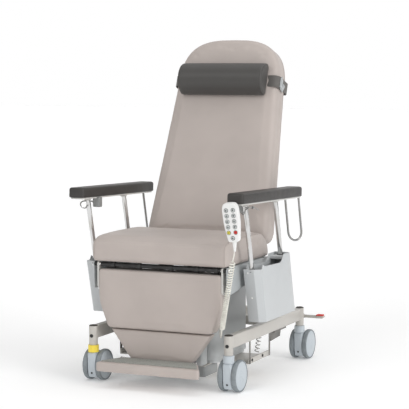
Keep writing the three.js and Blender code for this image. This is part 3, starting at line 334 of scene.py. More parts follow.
def refined(node, name, body, look, slot, edge=0.8):
    """A merged copy of a CAD node with its sharp edges rounded, which stands for that node."""
    bm = bmesh.new()
    bm.from_mesh(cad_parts[node].data)
    bmesh.ops.remove_doubles(bm, verts=bm.verts, dist=0.02 * MM)
    bmesh.ops.dissolve_limit(bm, angle_limit=math.radians(0.5), verts=bm.verts, edges=bm.edges)
    bmesh.ops.transform(bm, matrix=TO_FRAME.inverted(), verts=bm.verts)
    long_ones = [
        e
        for e in bm.edges
        if len(e.link_faces) == 2 and e.calc_face_angle() > math.radians(50) and e.calc_length() > 6 * edge
    ]
    bmesh.ops.bevel(
        bm,
        geom=long_ones,
        offset=edge,
        segments=2,
        profile=0.5,
        affect="EDGES",
        material=-1,
        clamp_overlap=True,
    )
    solid = Solid()
    solid.take(bm)
    return solid.finish(name, body, look, slot, replaces=[node])


# ---------------------------------------------------------------- properties
def colour_property(label, about, default):
    return bpy.props.FloatVectorProperty(
        name=label, description=about, default=default, size=3, min=0, max=1, subtype="COLOR_GAMMA"
    )


class UpholsterySettings(bpy.types.PropertyGroup):
    """The padded pieces"""

    cover: colour_property("Cover", "Colour of the seat, back and leg covers", (0.735, 0.695, 0.672))
    pillow: colour_property("Pillow", "Colour of the head pillow", (0.315, 0.308, 0.300))
    arm_pad: colour_property("Arm pads", "Colour of the moulded arm pads", (0.262, 0.250, 0.240))
    mat: colour_property("Foot mat", "Colour of the footplate's mat", (0.615, 0.620, 0.600))
    voxel: bpy.props.FloatProperty(
        name="Mesh size", description="Size of the padded pieces' faces", default=0.006, min=0.004, max=0.01, unit="LENGTH"
    )
    swell: bpy.props.FloatProperty(
        name="Swell", description="Most that a pad may swell", default=0.006, min=0, max=0.03, unit="LENGTH"
    )
    piping: bpy.props.FloatProperty(
        name="Piping", description="Radius of the sewn piping, in millimetres", default=1.7, min=0.5, max=4
    )


class FrameSettings(bpy.types.PropertyGroup):
    """The frame, covers and wheels"""

    paint: colour_property("Paint", "Colour of the painted frame", (0.765, 0.750, 0.725))
    cover: colour_property("Covers", "Colour of the column covers", (0.775, 0.785, 0.785))
    pocket: colour_property("Pockets", "Colour of the side pockets", (0.800, 0.812, 0.818))
    caster: colour_property("Casters", "Colour of the caster shells", (0.745, 0.775, 0.798))
    tyre: colour_property("Tyres", "Colour of the tyres", (0.545, 0.570, 0.585))
    lock_ring: colour_property("Lock ring", "Colour of the direction lock's ring", (0.960, 0.865, 0.330))
    pedal_tip: colour_property("Pedal tip", "Colour of the brake pedal's tip", (0.850, 0.290, 0.260))
    cord: colour_property("Cord", "Colour of the handset's cord", (0.935, 0.925, 0.890))


class StageSettings(bpy.types.PropertyGroup):
    """Camera, floor and lights"""

    focal: bpy.props.FloatProperty(
        name="Focal length", description="Of the camera, in millimetres", default=138.68, min=20, max=300
    )
    azimuth: bpy.props.FloatProperty(
        name="Azimuth", description="Turn of the view to the object's right", default=math.radians(24.03), subtype="ANGLE"
    )
    pitch: bpy.props.FloatProperty(
        name="Pitch", description="How far the camera looks down", default=math.radians(5.09), subtype="ANGLE"
    )
    light: bpy.props.FloatProperty(
        name="Light", description="Strength of all the lights together", default=1.0, min=0, max=5
    )


# ---------------------------------------------------------------- materials
class Signal:
    """A number that runs along a material's wires. Sums and products of signals add Math nodes."""

    def __init__(self, look, socket):
        self.look = look
        self.socket = socket

    def math(self, operation, *values):
        return self.look.node("ShaderNodeMath", {"operation": operation}, values)

    def __add__(self, other):
        return self.math("ADD", self, other)

    def __sub__(self, other):
        return self.math("SUBTRACT", self, other)

    def __rsub__(self, other):
        return self.math("SUBTRACT", other, self)

    def __mul__(self, other):
        return self.math("MULTIPLY", self, other)

    __radd__ = __add__
    __rmul__ = __mul__


def linear(colour):
    """A display colour as the light it stands for."""
    made = [c / 12.92 if c <= 0.04045 else ((c + 0.055) / 1.055) ** 2.4 for c in colour]
    return (*made, 1.0)


def tinted(colour, factor):
    return linear([min(1, c * factor) for c in colour])


class Look:
    """One material under construction."""

    def __init__(self, name, roughness=0.5, metallic=0.0, level=0.5, coat=0.0):
        self.material = bpy.data.materials.new(name)
        self.material.use_nodes = True
        self.tree = self.material.node_tree
        self.skin = self.tree.nodes["Principled BSDF"]
        self.put("Roughness", roughness)
        self.put("Metallic", metallic)
        self.put("Specular IOR Level", level)
        self.put("Coat Weight", coat)
        self.place = self.node("ShaderNodeTexCoord", output="Object")

    def node(self, kind, settings=None, values=(), output=0):
        """Adds a node: its settings first, then its sockets' values or links."""
        made = self.tree.nodes.new(kind)
        for key, value in (settings or {}).items():
            if key == "stops":
                ramp = made.color_ramp.elements
                for stop, (at, shade_of) in zip((ramp[0], ramp[1]), value):
                    stop.position = at
                    stop.color = (shade_of, shade_of, shade_of, 1)
            else:
                setattr(made, key, value)
        pairs = values.items() if isinstance(values, dict) else enumerate(values)
        for key, value in pairs:
            self.feed(made.inputs[key], value)
        return Signal(self, made.outputs[output])

    def feed(self, socket, value):
        if isinstance(value, Signal):
            self.tree.links.new(value.socket, socket)
        else:
            socket.default_value = value

    def put(self, name, value):
        self.feed(self.skin.inputs[name], value)

    def stretched(self, scale):
        """Object coordinates scaled by three factors."""
        return self.node("ShaderNodeMapping", values={"Vector": self.place, "Scale": scale})

    def noise(self, scale, detail=3.0, where=None, roughness=0.5):
        values = {"Vector": where or self.place, "Scale": scale, "Detail": detail, "Roughness": roughness}
        return self.node("ShaderNodeTexNoise", values=values, output="Fac")

    def cells(self, scale, feature="DISTANCE_TO_EDGE", where=None):
        values = {"Vector": where or self.place, "Scale": scale}
        return self.node("ShaderNodeTexVoronoi", {"feature": feature}, values, output="Distance")

    def waves(self, scale, where, direction):
        settings = {"wave_type": "BANDS", "bands_direction": direction}
        return self.node("ShaderNodeTexWave", settings, {"Vector": where, "Scale": scale}, output="Fac")

    def ramp(self, signal, low, high, from_value=0.0, to_value=1.0):
        return self.node("ShaderNodeValToRGB", {"stops": ((low, from_value), (high, to_value))}, (signal,))

    def mixed(self, factor, one, other):
        settings = {"data_type": "RGBA"}
        return self.node("ShaderNodeMix", settings, {0: factor, 6: one, 7: other}, output=2)

    def relief(self, height, strength, distance):
        values = {"Height": height, "Strength": strength, "Distance": distance}
        self.put("Normal", self.node("ShaderNodeBump", values=values))


def clouded(look, colour, spread, scale):
    """A colour that drifts a little lighter and darker over the surface."""
    cloud = look.ramp(look.noise(scale, 4), 0.3, 0.7)
    look.put("Base Color", look.mixed(cloud, tinted(colour, 1 - spread), tinted(colour, 1 + spread)))


def coated_fabric(name, colour, grain=620, rough=0.46, depth=0.00022):
    """Polyurethane-coated knit: fine pebble grain, faint creases, a soft sheen."""
    look = Look(name, level=0.42)
    look.put("Sheen Weight", 0.08)
    look.put("Sheen Roughness", 0.4)
    clouded(look, colour, 0.018, 7)
    pebbles = look.ramp(look.cells(grain), 0.02, 0.34)
    pores = look.noise(grain * 2.2, 2)
    creases = look.ramp(look.noise(26, 5, roughness=0.62), 0.42, 0.62)
    look.put("Roughness", rough + 0.10 * look.noise(60, 3) - 0.05 * pebbles)
    look.relief(pebbles * 0.6 + pores * 0.25 + creases * 0.35, 0.22, depth)
    return look


def moulded_skin(name, colour):
    """Self-skinned foam of the arm pads: leather-like grain pressed in by the mould."""
    look = Look(name, level=0.5)
    clouded(look, colour, 0.05, 9)
    wrinkles = look.ramp(look.cells(430), 0.0, 0.25)
    fine = look.noise(1500, 3)
    look.put("Roughness", 0.38 + 0.16 * look.noise(35, 4))
    look.relief(wrinkles * 0.8 + fine * 0.3, 0.3, 0.0003)
    return look


def powder_paint(name, colour, rough=0.34):
    """Powder coating: orange-peel relief and a slight speckle."""
    look = Look(name, level=0.5, coat=0.12)
    look.put("Coat Roughness", 0.18)
    speckle = look.ramp(look.noise(900, 2), 0.45, 0.62)
    dust = look.ramp(look.noise(5, 5), 0.35, 0.75)
    base = look.mixed(dust, tinted(colour, 0.975), tinted(colour, 1.02))
    look.put("Base Color", look.mixed(speckle * 0.06, base, tinted(colour, 0.8)))
    look.put("Roughness", rough + 0.08 * look.noise(40, 3))
    look.relief(look.noise(260, 2), 0.10, 0.0004)
    return look


def moulded_plastic(name, colour, rough=0.42, relief=0.16):
    """Injection-moulded shell with a fine spark-eroded texture."""
    look = Look(name, level=0.45)
    clouded(look, colour, 0.012, 4)
    stipple = look.noise(1300, 2)
    look.put("Roughness", rough + 0.10 * look.noise(28, 4) - 0.04 * stipple)
    look.relief(stipple, relief, 0.0002)
    return look


def polished_steel(name, tone=0.86, rough=0.09):
    """Chromed or polished tube: faint smears and hairline scratches."""
    look = Look(name, metallic=1.0)
    smear = look.ramp(look.noise(18, 5), 0.4, 0.75)
    scratch = look.noise(120, 2, look.stretched((40, 40, 1.5)))
    look.put("Base Color", look.mixed(smear, tinted((tone,) * 3, 1.0),
        tinted((tone, tone * 0.99, tone * 0.97), 0.93)))
    look.put("Roughness", rough + 0.07 * smear + 0.04 * scratch)
    return look


def brushed_steel(name, tone=0.62):
    """Plain steel with drawn lines along its length."""
    look = Look(name, metallic=0.9)
    lines = look.noise(90, 3, look.stretched((1.2, 14, 14)))
    look.put("Base Color", look.mixed(lines, tinted((tone,) * 3, 0.85), tinted((tone,) * 3, 1.12)))
    look.put("Roughness", 0.28 + 0.2 * lines)
    look.relief(lines, 0.08, 0.0002)
    return look


def rubber(name, colour, rough=0.62):
    """Tread or grip rubber, dusty in its pores."""
    look = Look(name, level=0.35)
    dust = look.ramp(look.noise(45, 6), 0.4, 0.8)
    look.put("Base Color", look.mixed(dust, tinted(colour, 0.94), tinted(colour, 1.08)))
    look.put("Roughness", rough + 0.15 * dust)
    look.relief(look.noise(1800, 2), 0.2, 0.0002)
    return look


def webbing(name, colour):
    """Woven strap: two crossed sets of ribs."""
    look = Look(name, level=0.25)
    warp = look.waves(260, look.place, "X")
    weft = look.waves(210, look.place, "Z")
    weave = warp * 0.5 + weft * 0.5
    look.put("Base Color", look.mixed(weave, tinted(colour, 0.82), tinted(colour, 1.15)))
    look.put("Roughness", 0.72 + 0.12 * weave)
    look.relief(weave, 0.35, 0.0004)
    return look


def ribbed_mat(name, colour):
    """Non-slip mat: close raised ribs with a speckled face."""
    look = Look(name, level=0.3)
    ribs = look.waves(95, look.place, "X")
    speckle = look.ramp(look.noise(420, 3), 0.42, 0.6)
    look.put("Base Color", look.mixed(speckle, tinted(colour, 0.9), tinted(colour, 1.1)))
    look.put("Roughness", 0.66 + 0.14 * look.noise(60, 3))
    look.relief(ribs * 0.6 + speckle * 0.5, 0.35, 0.0005)
    return look


def dark_interior(name, tone):
    """Black-painted mechanism, oily in places."""
    look = Look(name, level=0.5)
    oil = look.ramp(look.noise(50, 5), 0.4, 0.7)
    look.put("Base Color", look.mixed(oil, tinted((tone,) * 3, 0.9), tinted((tone,) * 3, 1.3)))
    look.put("Roughness", 0.55 - 0.25 * oil)
    look.relief(look.noise(700, 2), 0.15, 0.0002)
    return look


LOOKS = {}


def look_of(name):
    """The named material, made once."""
    if name not in LOOKS:
        cloth = bpy.context.scene.recliner_upholstery
        metal = bpy.context.scene.recliner_frame
        recipes = {
            "cover_vinyl": lambda n: coated_fabric(n, cloth.cover),
            "piping_vinyl": lambda n: coated_fabric(n, [c * 0.93 for c in cloth.cover], 900),
            "pillow_vinyl": lambda n: coated_fabric(n, [c * 0.94 for c in cloth.pillow], 560, 0.4),
            "pillow_piping": lambda n: coated_fabric(n, [c * 1.1 for c in cloth.pillow], 900, 0.4),
            "pad_skin": lambda n: moulded_skin(n, [c * 0.84 for c in cloth.arm_pad]),
            "mat_rubber": lambda n: ribbed_mat(n, cloth.mat),
            "strap_webbing": lambda n: webbing(n, (0.42, 0.41, 0.40)),
            "frame_paint": lambda n: powder_paint(n, metal.paint),
            "plate_paint": lambda n: powder_paint(n, (0.83, 0.825, 0.81), 0.3),
            "cover_plastic": lambda n: moulded_plastic(n, metal.cover),
            "cover_grey": lambda n: moulded_plastic(n, [c * 0.8 for c in metal.cover]),
            "pocket_plastic": lambda n: moulded_plastic(n, [c * 0.96 for c in metal.pocket], 0.34, 0.1),
            "caster_plastic": lambda n: moulded_plastic(n, metal.caster, 0.36),
            "bracket_paint": lambda n: powder_paint(n, (0.70, 0.715, 0.72)),
            "latch_grey": lambda n: powder_paint(n, (0.56, 0.565, 0.56)),
            # Painted shade: the rail brackets and tray uprights get a darker paint colour that stands for the
            # shade on their faces.
            "bracket_painted_shade": lambda n: powder_paint(n, (0.43, 0.415, 0.395)),
            "tyre_rubber": lambda n: rubber(n, metal.tyre),
            "ring_plastic": lambda n: moulded_plastic(n, metal.lock_ring, 0.4),
            "tip_plastic": lambda n: moulded_plastic(n, metal.pedal_tip, 0.4),
            "tube_chrome": lambda n: polished_steel(n),
            "loop_steel": lambda n: polished_steel(n, 0.66, 0.18),
            "shaft_steel": lambda n: brushed_steel(n),
            "black_plastic": lambda n: moulded_plastic(n, (0.12, 0.115, 0.11), 0.45, 0.25),
            "cap_plastic": lambda n: moulded_plastic(n, (0.235, 0.215, 0.195), 0.5, 0.25),
            "mechanism_black": lambda n: dark_interior(n, 0.14),
            "handset_plastic": lambda n: moulded_plastic(n, (0.93, 0.93, 0.925), 0.32, 0.08),
            "key_plastic": lambda n: moulded_plastic(n, (0.84, 0.855, 0.85), 0.4, 0.08),
            "key_ring_plastic": lambda n: moulded_plastic(n, (0.31, 0.33, 0.32), 0.45, 0.1),
            "key_mark": lambda n: moulded_plastic(n, (0.17, 0.19, 0.18), 0.5, 0.1),
            "key_yellow": lambda n: moulded_plastic(n, (0.94, 0.88, 0.33), 0.4, 0.08),
            "key_red": lambda n: moulded_plastic(n, (0.88, 0.22, 0.20), 0.4, 0.08),
            "cord_jacket": lambda n: rubber(n, metal.cord, 0.4),
        }
        LOOKS[name] = recipes[name](name).material
    return LOOKS[name]


# ---------------------------------------------------------------- padded pieces
def remesh(piece, voxel):
    """Rebuilds a piece as an even net of four-sided faces."""
    step = piece.modifiers.new("Even net", "REMESH")
    step.mode = "VOXEL"
    step.voxel_size = voxel
    apply_modifiers(piece)


def apply_modifiers(piece):
    graph = bpy.context.evaluated_depsgraph_get()
    made = bpy.data.meshes.new_from_object(piece.evaluated_get(graph))
    piece.modifiers.clear()
    old = piece.data
    made.name = old.name
    piece.data = made
    bpy.data.meshes.remove(old)


def settle(piece, rounds, shrink):
    """Evens out the net and draws it in a little, so that there is room to swell."""
    bm = bmesh.new()
    bm.from_mesh(piece.data)
    for _ in range(rounds):
        bmesh.ops.smooth_vert(bm, verts=bm.verts, factor=0.5, use_axis_x=True, use_axis_y=True,
            use_axis_z=True)
    bm.normal_update()
    for v in bm.verts:
        v.co -= v.normal * shrink
    bm.to_mesh(piece.data)
    bm.free()


def inflate(piece, held, limit, pressure, stiffness=40.0, frames=20):
    """Swells a piece as a stuffed cloth cover. Points for which held() is true stay put."""
    rest = [v.co.copy() for v in piece.data.vertices]
    pins = piece.vertex_groups.new(name="held")
    inverse = TO_FRAME.inverted()
    fixed = [v.index for v in piece.data.vertices if held(inverse @ v.co)]
    pins.add(fixed, 1.0, "REPLACE")
    cloth = piece.modifiers.new("Cloth", "CLOTH")
    cloth.settings.quality = 4
    cloth.settings.mass = 0.4
    cloth.settings.tension_stiffness = stiffness
    cloth.settings.compression_stiffness = stiffness
    cloth.settings.shear_stiffness = stiffness * 0.4
    cloth.settings.bending_stiffness = 1.2
    cloth.settings.use_pressure = True
    cloth.settings.uniform_pressure_force = pressure
    cloth.settings.vertex_group_mass = "held"
    cloth.settings.effector_weights.gravity = 0
    cloth.collision_settings.use_collision = False
    cloth.point_cache.frame_start = 1
    cloth.point_cache.frame_end = frames
    for f in range(1, frames + 1):
        bpy.context.scene.frame_set(f)
    graph = bpy.context.evaluated_depsgraph_get()
    swollen = piece.evaluated_get(graph).to_mesh()
    moves = [v.co - r for v, r in zip(swollen.vertices, rest)]
    piece.evaluated_get(graph).to_mesh_clear()
    piece.modifiers.clear()
    bpy.context.scene.frame_set(1)
    for v, start, move in zip(piece.data.vertices, rest, moves):
        far = max(move.length, 1e-9)
        kept = 1.0 if move.dot(v.normal) > 0 else 0.15
        v.co = start + move * (kept * limit * math.tanh(far / limit) / far)
    piece.vertex_groups.clear()


def stuffed(solid, name, body, look, slot, node, held, swell=1.0, pressure=4.0, voxel=1.0,
    place=None):
    """A padded piece: a closed shape, evenly meshed, swollen as cloth and subdivided once."""
    cloth = bpy.context.scene.recliner_upholstery
    piece = solid.finish(name, None, look, slot, place=place)
    remesh(piece, cloth.voxel * voxel)
    settle(piece, 3, 0.0006 * swell)
    inflate(piece, held, cloth.swell * swell, pressure)
    piece.modifiers.new("Finer", "SUBSURF").levels = 1
    piece.modifiers["Finer"].render_levels = 1
    apply_modifiers(piece)
    piece.data.shade_smooth()
    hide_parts(node)
    return piece


def snapped(piece, path, lift=0.0):
    """A path in the drawing's millimetres laid on a piece's surface, as frame points with their normals."""
    tree = BVHTree.FromObject(piece, bpy.context.evaluated_depsgraph_get())
    laid = []
    for point in path:
        spot, normal, _, _ = tree.find_nearest(TO_FRAME @ Vector(point))
        laid.append((spot + normal * lift * MM, normal))
    return laid


def press(piece, path, width, depth):
    """Presses a sewn line into a padded piece. Width and depth are in millimetres."""
    laid = snapped(piece, path)
    tree = KDTree(len(laid))
    for i, (spot, _) in enumerate(laid):
        tree.insert(spot, i)
    tree.balance()
    moves = []
    for v in piece.data.vertices:
        _, _, far = tree.find(v.co)
        if far < 3 * width * MM:
            moves.append((v, v.normal * depth * MM * math.exp(-((far / (width * MM)) ** 2))))
    for v, move in moves:
        v.co -= move
    piece.data.update()


def sewn_on(piece, name, paths, look, slot, body, lift=0.4, radius=None, closed=False):
    """Piping laid along paths on a padded piece."""
    size = radius or bpy.context.scene.recliner_upholstery.piping
    inverse = TO_FRAME.inverted()
    solid = Solid()
    for path in paths:
        laid = [inverse @ spot for spot, _ in snapped(piece, path, lift)]
        even = laid[:1]
        for spot in laid[1:]:
            if (spot - even[-1]).length > 3:
                even.append(spot)
        if closed:
            even = [*even, even[0] + (even[1] - even[0]) * 0.2]
        calm = [
            (a + 2 * b + c) / 4 for a, b, c in zip([even[0], *even], even, [*even[1:], even[-1]])
        ]
        solid.rod(calm, size, sides=8)
    return solid.finish(name, body, look, slot)


# ---------------------------------------------------------------- camera, floor and lights
def sun(name, towards, strength, spread):
    """A soft distant light that shines from a direction."""
    data = bpy.data.lights.new(name, "SUN")
    data.energy = strength
    data.angle = math.radians(spread)
    lamp = bpy.data.objects.new(name, data)
    lamp.rotation_euler = Vector(towards).to_track_quat("Z", "Y").to_euler()
    bpy.context.scene.collection.objects.link(lamp)


def stage_sheet(name, width, height, place, look):
    """A flat sheet of the studio."""
    mesh = bpy.data.meshes.new(name)
    bm = bmesh.new()
    bmesh.ops.create_grid(bm, x_segments=1, y_segments=1, size=0.5)
    bmesh.ops.scale(bm, vec=(width, height, 1), verts=bm.verts)
    bmesh.ops.transform(bm, matrix=place, verts=bm.verts)
    bm.to_mesh(mesh)
    bm.free()
    mesh.materials.append(look.material)
    sheet = bpy.data.objects.new(name, mesh)
    bpy.context.scene.collection.objects.link(sheet)
    return sheet


def plain_look(name, colour, glow=0.0):
    look = Look(name, 0.7, level=0.0)
    look.put("Base Color", (*colour, 1))
    look.put("Emission Color", (1, 1, 1, 1))
    look.put("Emission Strength", glow)
    return look


class RECLINER_OT_stage(bpy.types.Operator):
    """Camera, pale floor, white surround and soft studio lights"""

    bl_idname = "recliner.stage"
    bl_label = "Stage"

    def execute(self, context):
        setting = context.scene.recliner_stage
        lens = bpy.data.cameras.new("camera")
        lens.sensor_width = 36
        lens.lens = setting.focal
        lens.clip_end = 60
        camera = bpy.data.objects.new("camera", lens)
        camera.location = (2.629, CENTRE.y - 5.853, 1.255)
        camera.rotation_euler = (math.pi / 2 - setting.pitch, 0, setting.azimuth)
        context.scene.collection.objects.link(camera)
        context.scene.camera = camera

        world = bpy.data.worlds.new("surround")
        world.use_nodes = True
        backdrop = world.node_tree.nodes["Background"]
        backdrop.inputs["Color"].default_value = (1, 1, 1, 1)
        backdrop.inputs["Strength"].default_value = 0.45 * setting.light
        context.scene.world = world
        context.scene.view_settings.view_transform = "Standard"

        stage_sheet("floor", 80, 80, Matrix.Identity(4), plain_look("floor_paint", (0.93, 0.93, 0.93), 0.17))
        far = Matrix.Translation((-18, 36, 0)) @ Matrix.Rotation(math.pi / 2, 4, "X")
        wall = stage_sheet("backdrop", 90, 40, far, plain_look("backdrop_paper", (0, 0, 0), 1.0))
        wall.visible_diffuse = False
        wall.visible_shadow = False
        for name, spot, width in (("card_left", (-3.4, 0.4, 1.1), 0.5), ("card_right", (2.4, 3.6, 1.0), 0.7)):
            turn = (Vector((0, 0, 0.8)) - Vector(spot)).to_track_quat("Z", "Y").to_matrix().to_4x4()
            card = stage_sheet(name, width, 2.6, Matrix.Translation(spot) @ turn,
                plain_look(name + "_cloth", (0.004,) * 3))
            card.visible_camera = False
            card.visible_diffuse = False
            card.visible_shadow = False

        sun("key", (-0.25, -1.0, 0.6), 0.5 * setting.light, 30)
        sun("side", (1.0, -0.3, 0.4), 1.15 * setting.light, 30)
        sun("top", (0.1, 0.1, 1.0), 0.8 * setting.light, 60)
        return {"FINISHED"}


# ---------------------------------------------------------------- handset cord
CORD_R = 2.5
COIL_R = 11.5
CORD_LEAD = ((338, -439.5, 551), (336.6, -439, 540), (334.2, -438.4, 530), (331.7, -438, 520.1))
COIL_TOP = Vector((331.4, -438, 519))
COIL_END = Vector((270, -400, 246))
CORD_TAIL = (
    (269.8, -399.8, 244.9), (267, -394, 231), (260, -380, 217), (248, -358, 208), (236, -336, 210),
    (226, -316, 224), (220, -300, 250), (217, -288, 285), (216, -282, 325), (216, -280, 370),
    (216, -280, 429.6),
)  # fmt: skip
COIL_TURNS = 34


def coil_points():
    """The helix: open turns at the top, where the cord's weight pulls, closer ones further down."""
    axis = COIL_END - COIL_TOP
    length = axis.length
    ahead = axis.normalized()
    side = ahead.cross(Vector((0, 1, 0))).normalized()
    other = ahead.cross(side)
    per_turn = 16
    count = COIL_TURNS * per_turn
    points = []
    for i in range(count + 1):
        t = i / count
        along = length * (1.32 * t - 0.32 * t * t)
        ease = min(1, i / per_turn, (count - i) / per_turn)
        radius = (COIL_R - CORD_R) * ease * ease * (3 - 2 * ease)
        turn = 2 * math.pi * t * COIL_TURNS
        points.append(COIL_TOP + ahead * along + (side * math.cos(turn) + other * math.sin(turn)) * radius)
    return points


class RECLINER_OT_cord(bpy.types.Operator):
    """The handset's curly cord, from its strain relief to the socket under the seat"""

    bl_idname = "recliner.cord"
    bl_label = "Handset cord"

    def execute(self, context):
        lead = smooth_path(CORD_LEAD, 3)
        tail = smooth_path(CORD_TAIL, 6)
        route = [*lead, *coil_points()[1:-1], *tail]
        solid = Solid()
        solid.rod(route, CORD_R, sides=8)
        cord = solid.finish("handset_cord", None, "cord_jacket", "cord_jacket", crease=80)
        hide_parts("cord_lead", "cord_coil", "cord_tail")
        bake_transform(cord)
        return {"FINISHED"}


# ---------------------------------------------------------------- base
class RECLINER_OT_base(bpy.types.Operator):
    """Rails, posts, cross members, brackets and caps of the base"""

    bl_idname = "recliner.base"
    bl_label = "Base frame"

    def execute(self, context):
        solid, caps, sockets, plates = Solid(), Solid(), Solid(), Solid()
        for _, sx, sy in CORNERS:
            x, y = sx * POST_X, sy * POST_Y
            solid.tube((x, y, POST_LOW), (x, y, RAIL_TOP), POST_R, edge=0.9, sides=48)
            caps.lathe([(0, 4.6), (8, 4.2), (13, 3.1), (16.4, 1.2), (17.2, 0.2), (17.2, -1.2), (0, -1.2)],
                (x, y, 222.4))
            # Painted shade: a thin black disc on each post face stands for the shaded bore where the brake shaft
            # passes.
            face = y + sy * (POST_R - 1.8)
            sockets.lathe([(7.4, 0), (7.4, 1.9), (0, 1.9), (0, 0)], (x, face, BRAKE_Z), (0, sy, 0), 32)
        for _, sx in SIDES:
            x = sx * POST_X
            solid.box((x - 15, -POST_Y, RAIL_TOP - 50), (x + 15, POST_Y, RAIL_TOP), edge=1, corner=4.5,
                axis=1)
            front = -POST_Y + POST_R - 3
            solid.plate([(front, 173), (front, 150), (front + 26, 173)], 0, x - 2, x + 2)
            plates.plate([(62, 173), (80, 126), (182, 132), (196, 173)], 0, x - 14, x - 10, edge=1)
            plates.plate([(63, 172.6), (66, 165), (192, 165), (195, 172.6)], 0, x - 10.5, x + 12, edge=0.8)
            for y, z in ((92, 140), (170, 145)):
                caps.lathe([(0, 3), (4.5, 3), (5.5, 2), (5.5, 0), (0, 0)], (x - 14, y, z), (-1, 0, 0), 6)
        for y in (350, 124):
            reach = POST_X - 14
            solid.box((-reach, y - 15, 182), (reach, y + 15, RAIL_TOP - 2), edge=0.8, corner=3, axis=0)
        solid.finish("base_rails", "base", "frame_paint", "painted_frame", replaces=["base_frame"])
        # The rail brackets take the darker paint, which is painted shade.
        plates.finish("rail_brackets", "base", "bracket_painted_shade", "painted_frame")
        caps.finish("base_caps", "base", "cap_plastic", "black_part")
        # The black discs are painted shade standing for the bores in the posts.
        sockets.finish("brake_bore_shade", "base", "mechanism_black", "black_part")
        return {"FINISHED"}


class RECLINER_OT_tray(bpy.types.Operator):
    """Tray between the rails, its battery and control boxes, and the brake's return springs"""

    bl_idname = "recliner.tray"
    bl_label = "Tray and power unit"

    def execute(self, context):
        solid, uprights, bolts = Solid(), Solid(), Solid()
        low, high = span("lower_tray")
        half, tongue, front, wide, rear = high.x - 3, 145, low.y, TRAY_BAR_FRONT, high.y
        plan = [(-tongue, front), (tongue, front), (tongue, wide), (half, wide), (half, rear), (-half, rear),
                (-half, wide), (-tongue, wide)]  # fmt: skip
        solid.plate(plan, 2, 72, 76, edge=0.8)
        for _, sx in SIDES:
            x = sx * half
            solid.box((x - 3, wide, 72.3), (x + 3, rear - 0.4, 95), edge=0.9)
            for y in (wide, rear - 6):
                outer = sx * (POST_X - 6)
                inner = x + sx * 3.2
                channel = [(inner, y + 6), (inner, y), (outer, y), (outer, y + 16),
                    (outer - sx * 3, y + 16), (outer - sx * 3, y + 6)]
                uprights.plate(channel[::sx], 2, 72.4, 171.7, edge=0.6)
            for y in (rear - 75, wide + 30):
                bolts.lathe([(0, 3.4), (5.4, 3.4), (6.2, 2.4), (6.2, 0), (0, 0)], (x + sx * 3, y, 85),
                    (sx, 0, 0), 6)
        # The tray uprights take the darker paint, which is painted shade.
        uprights.finish("tray_uprights", "base", "bracket_painted_shade", "painted_frame")
        solid.finish("tray", "base", "frame_paint", "painted_frame", replaces=["lower_tray"])
        bolts.finish("tray_bolts", "base", "mechanism_black", "black_part")

        springs = Solid()
        for _, sx in SIDES:
            top, foot, turns = Vector((sx * 266, -6, 168)), Vector((sx * 262, -26, 98)), 5
            line = []
            for i in range(turns * 16 + 1):
                t = i / (turns * 16)
                a = 2 * math.pi * turns * t
                line.append(top.lerp(foot, t) + Vector((math.cos(a), math.sin(a), 0)) * 9)
            springs.rod(line, 2.1, sides=8)
        springs.finish("brake_springs", "base", "tube_chrome", "plain_steel")

        box_low, box_high = span("control_box")
        box = Solid()
        box.box(box_low, box_high, edge=2, corner=10)
        for z in (120, 180, 240, 300):
            box.box((box_low.x + 18, box_low.y - 0.8, z), (box_high.x - 18, box_low.y + 1, z + 3), edge=0.4)
        box.finish("control_box_shell", "base", "cover_plastic", "grey_cover", replaces=["control_box"])
        pack_low, pack_high = span("battery_pack")
        pack = Solid()
        pack.box(pack_low, pack_high, edge=2.5, corner=8)
        for i in range(10):
            x = pack_low.x + 20 + i * 27
            pack.box((x, pack_low.y + 6, pack_low.z - 1), (x + 6, pack_high.y - 6, pack_low.z + 1), edge=0.5)
        pack.finish("battery_case", "base", "cover_grey", "grey_cover", replaces=["battery_pack"])
        return {"FINISHED"}


class RECLINER_OT_column(bpy.types.Operator):
    """The two telescoping covers and the lift column inside them"""

    bl_idname = "recliner.column"
    bl_label = "Lift column"

    def execute(self, context):
        low, high = span("column_cover_lower")
        lower = Solid()
        lower.sleeve(low, high, 3, 33)
        lower.finish("cover_lower", "base", "cover_plastic", "grey_cover", replaces=["column_cover_lower"])
        low, high = span("column_cover_upper")
        upper = Solid()
        upper.sleeve(low, high - Vector((0, 0, 3)), 4, 40)
        upper.sleeve(low - Vector((1.2, 1.2, 0)), Vector((high.x + 1.2, high.y + 1.2, low.z + 9)), 3, 41)
        outline = [
            *arc(high.x - 40, high.y - 40, 39, 0, 90, 6), *arc(low.x + 40, high.y - 40, 39, 90, 180, 6),
            *arc(low.x + 40, low.y + 40, 39, 180, 270, 6), *arc(high.x - 40, low.y + 40, 39, 270, 360, 6),
        ]  # fmt: skip
        hole = 60
        middle = -65
        for part in (
            [p for p in outline if p[0] >= hole] + [(hole, low.y + 1), (hole, high.y - 1)][::-1],
            [p for p in outline if p[0] <= -hole] + [(-hole, low.y + 1), (-hole, high.y - 1)],
        ):
            centre = sum(p[0] for p in part) / len(part), sum(p[1] for p in part) / len(part)
            part.sort(key=lambda p: math.atan2(p[1] - centre[1], p[0] - centre[0]))
            upper.plate(part, 2, high.z - 4, high.z, edge=1.2)
        upper.box((-hole, low.y + 1, high.z - 4), (hole, middle - 50, high.z), edge=0.6)
        upper.box((-hole, middle + 50, high.z - 4), (hole, high.y - 1, high.z), edge=0.6)
        upper.finish("cover_upper", "lift", "cover_plastic", "grey_cover", replaces=["column_cover_upper"])
        refined("column_outer", "column_tube_outer", "base", "shaft_steel", "plain_steel")
        refined("column_inner", "column_tube_inner", "lift", "shaft_steel", "plain_steel")
        return {"FINISHED"}


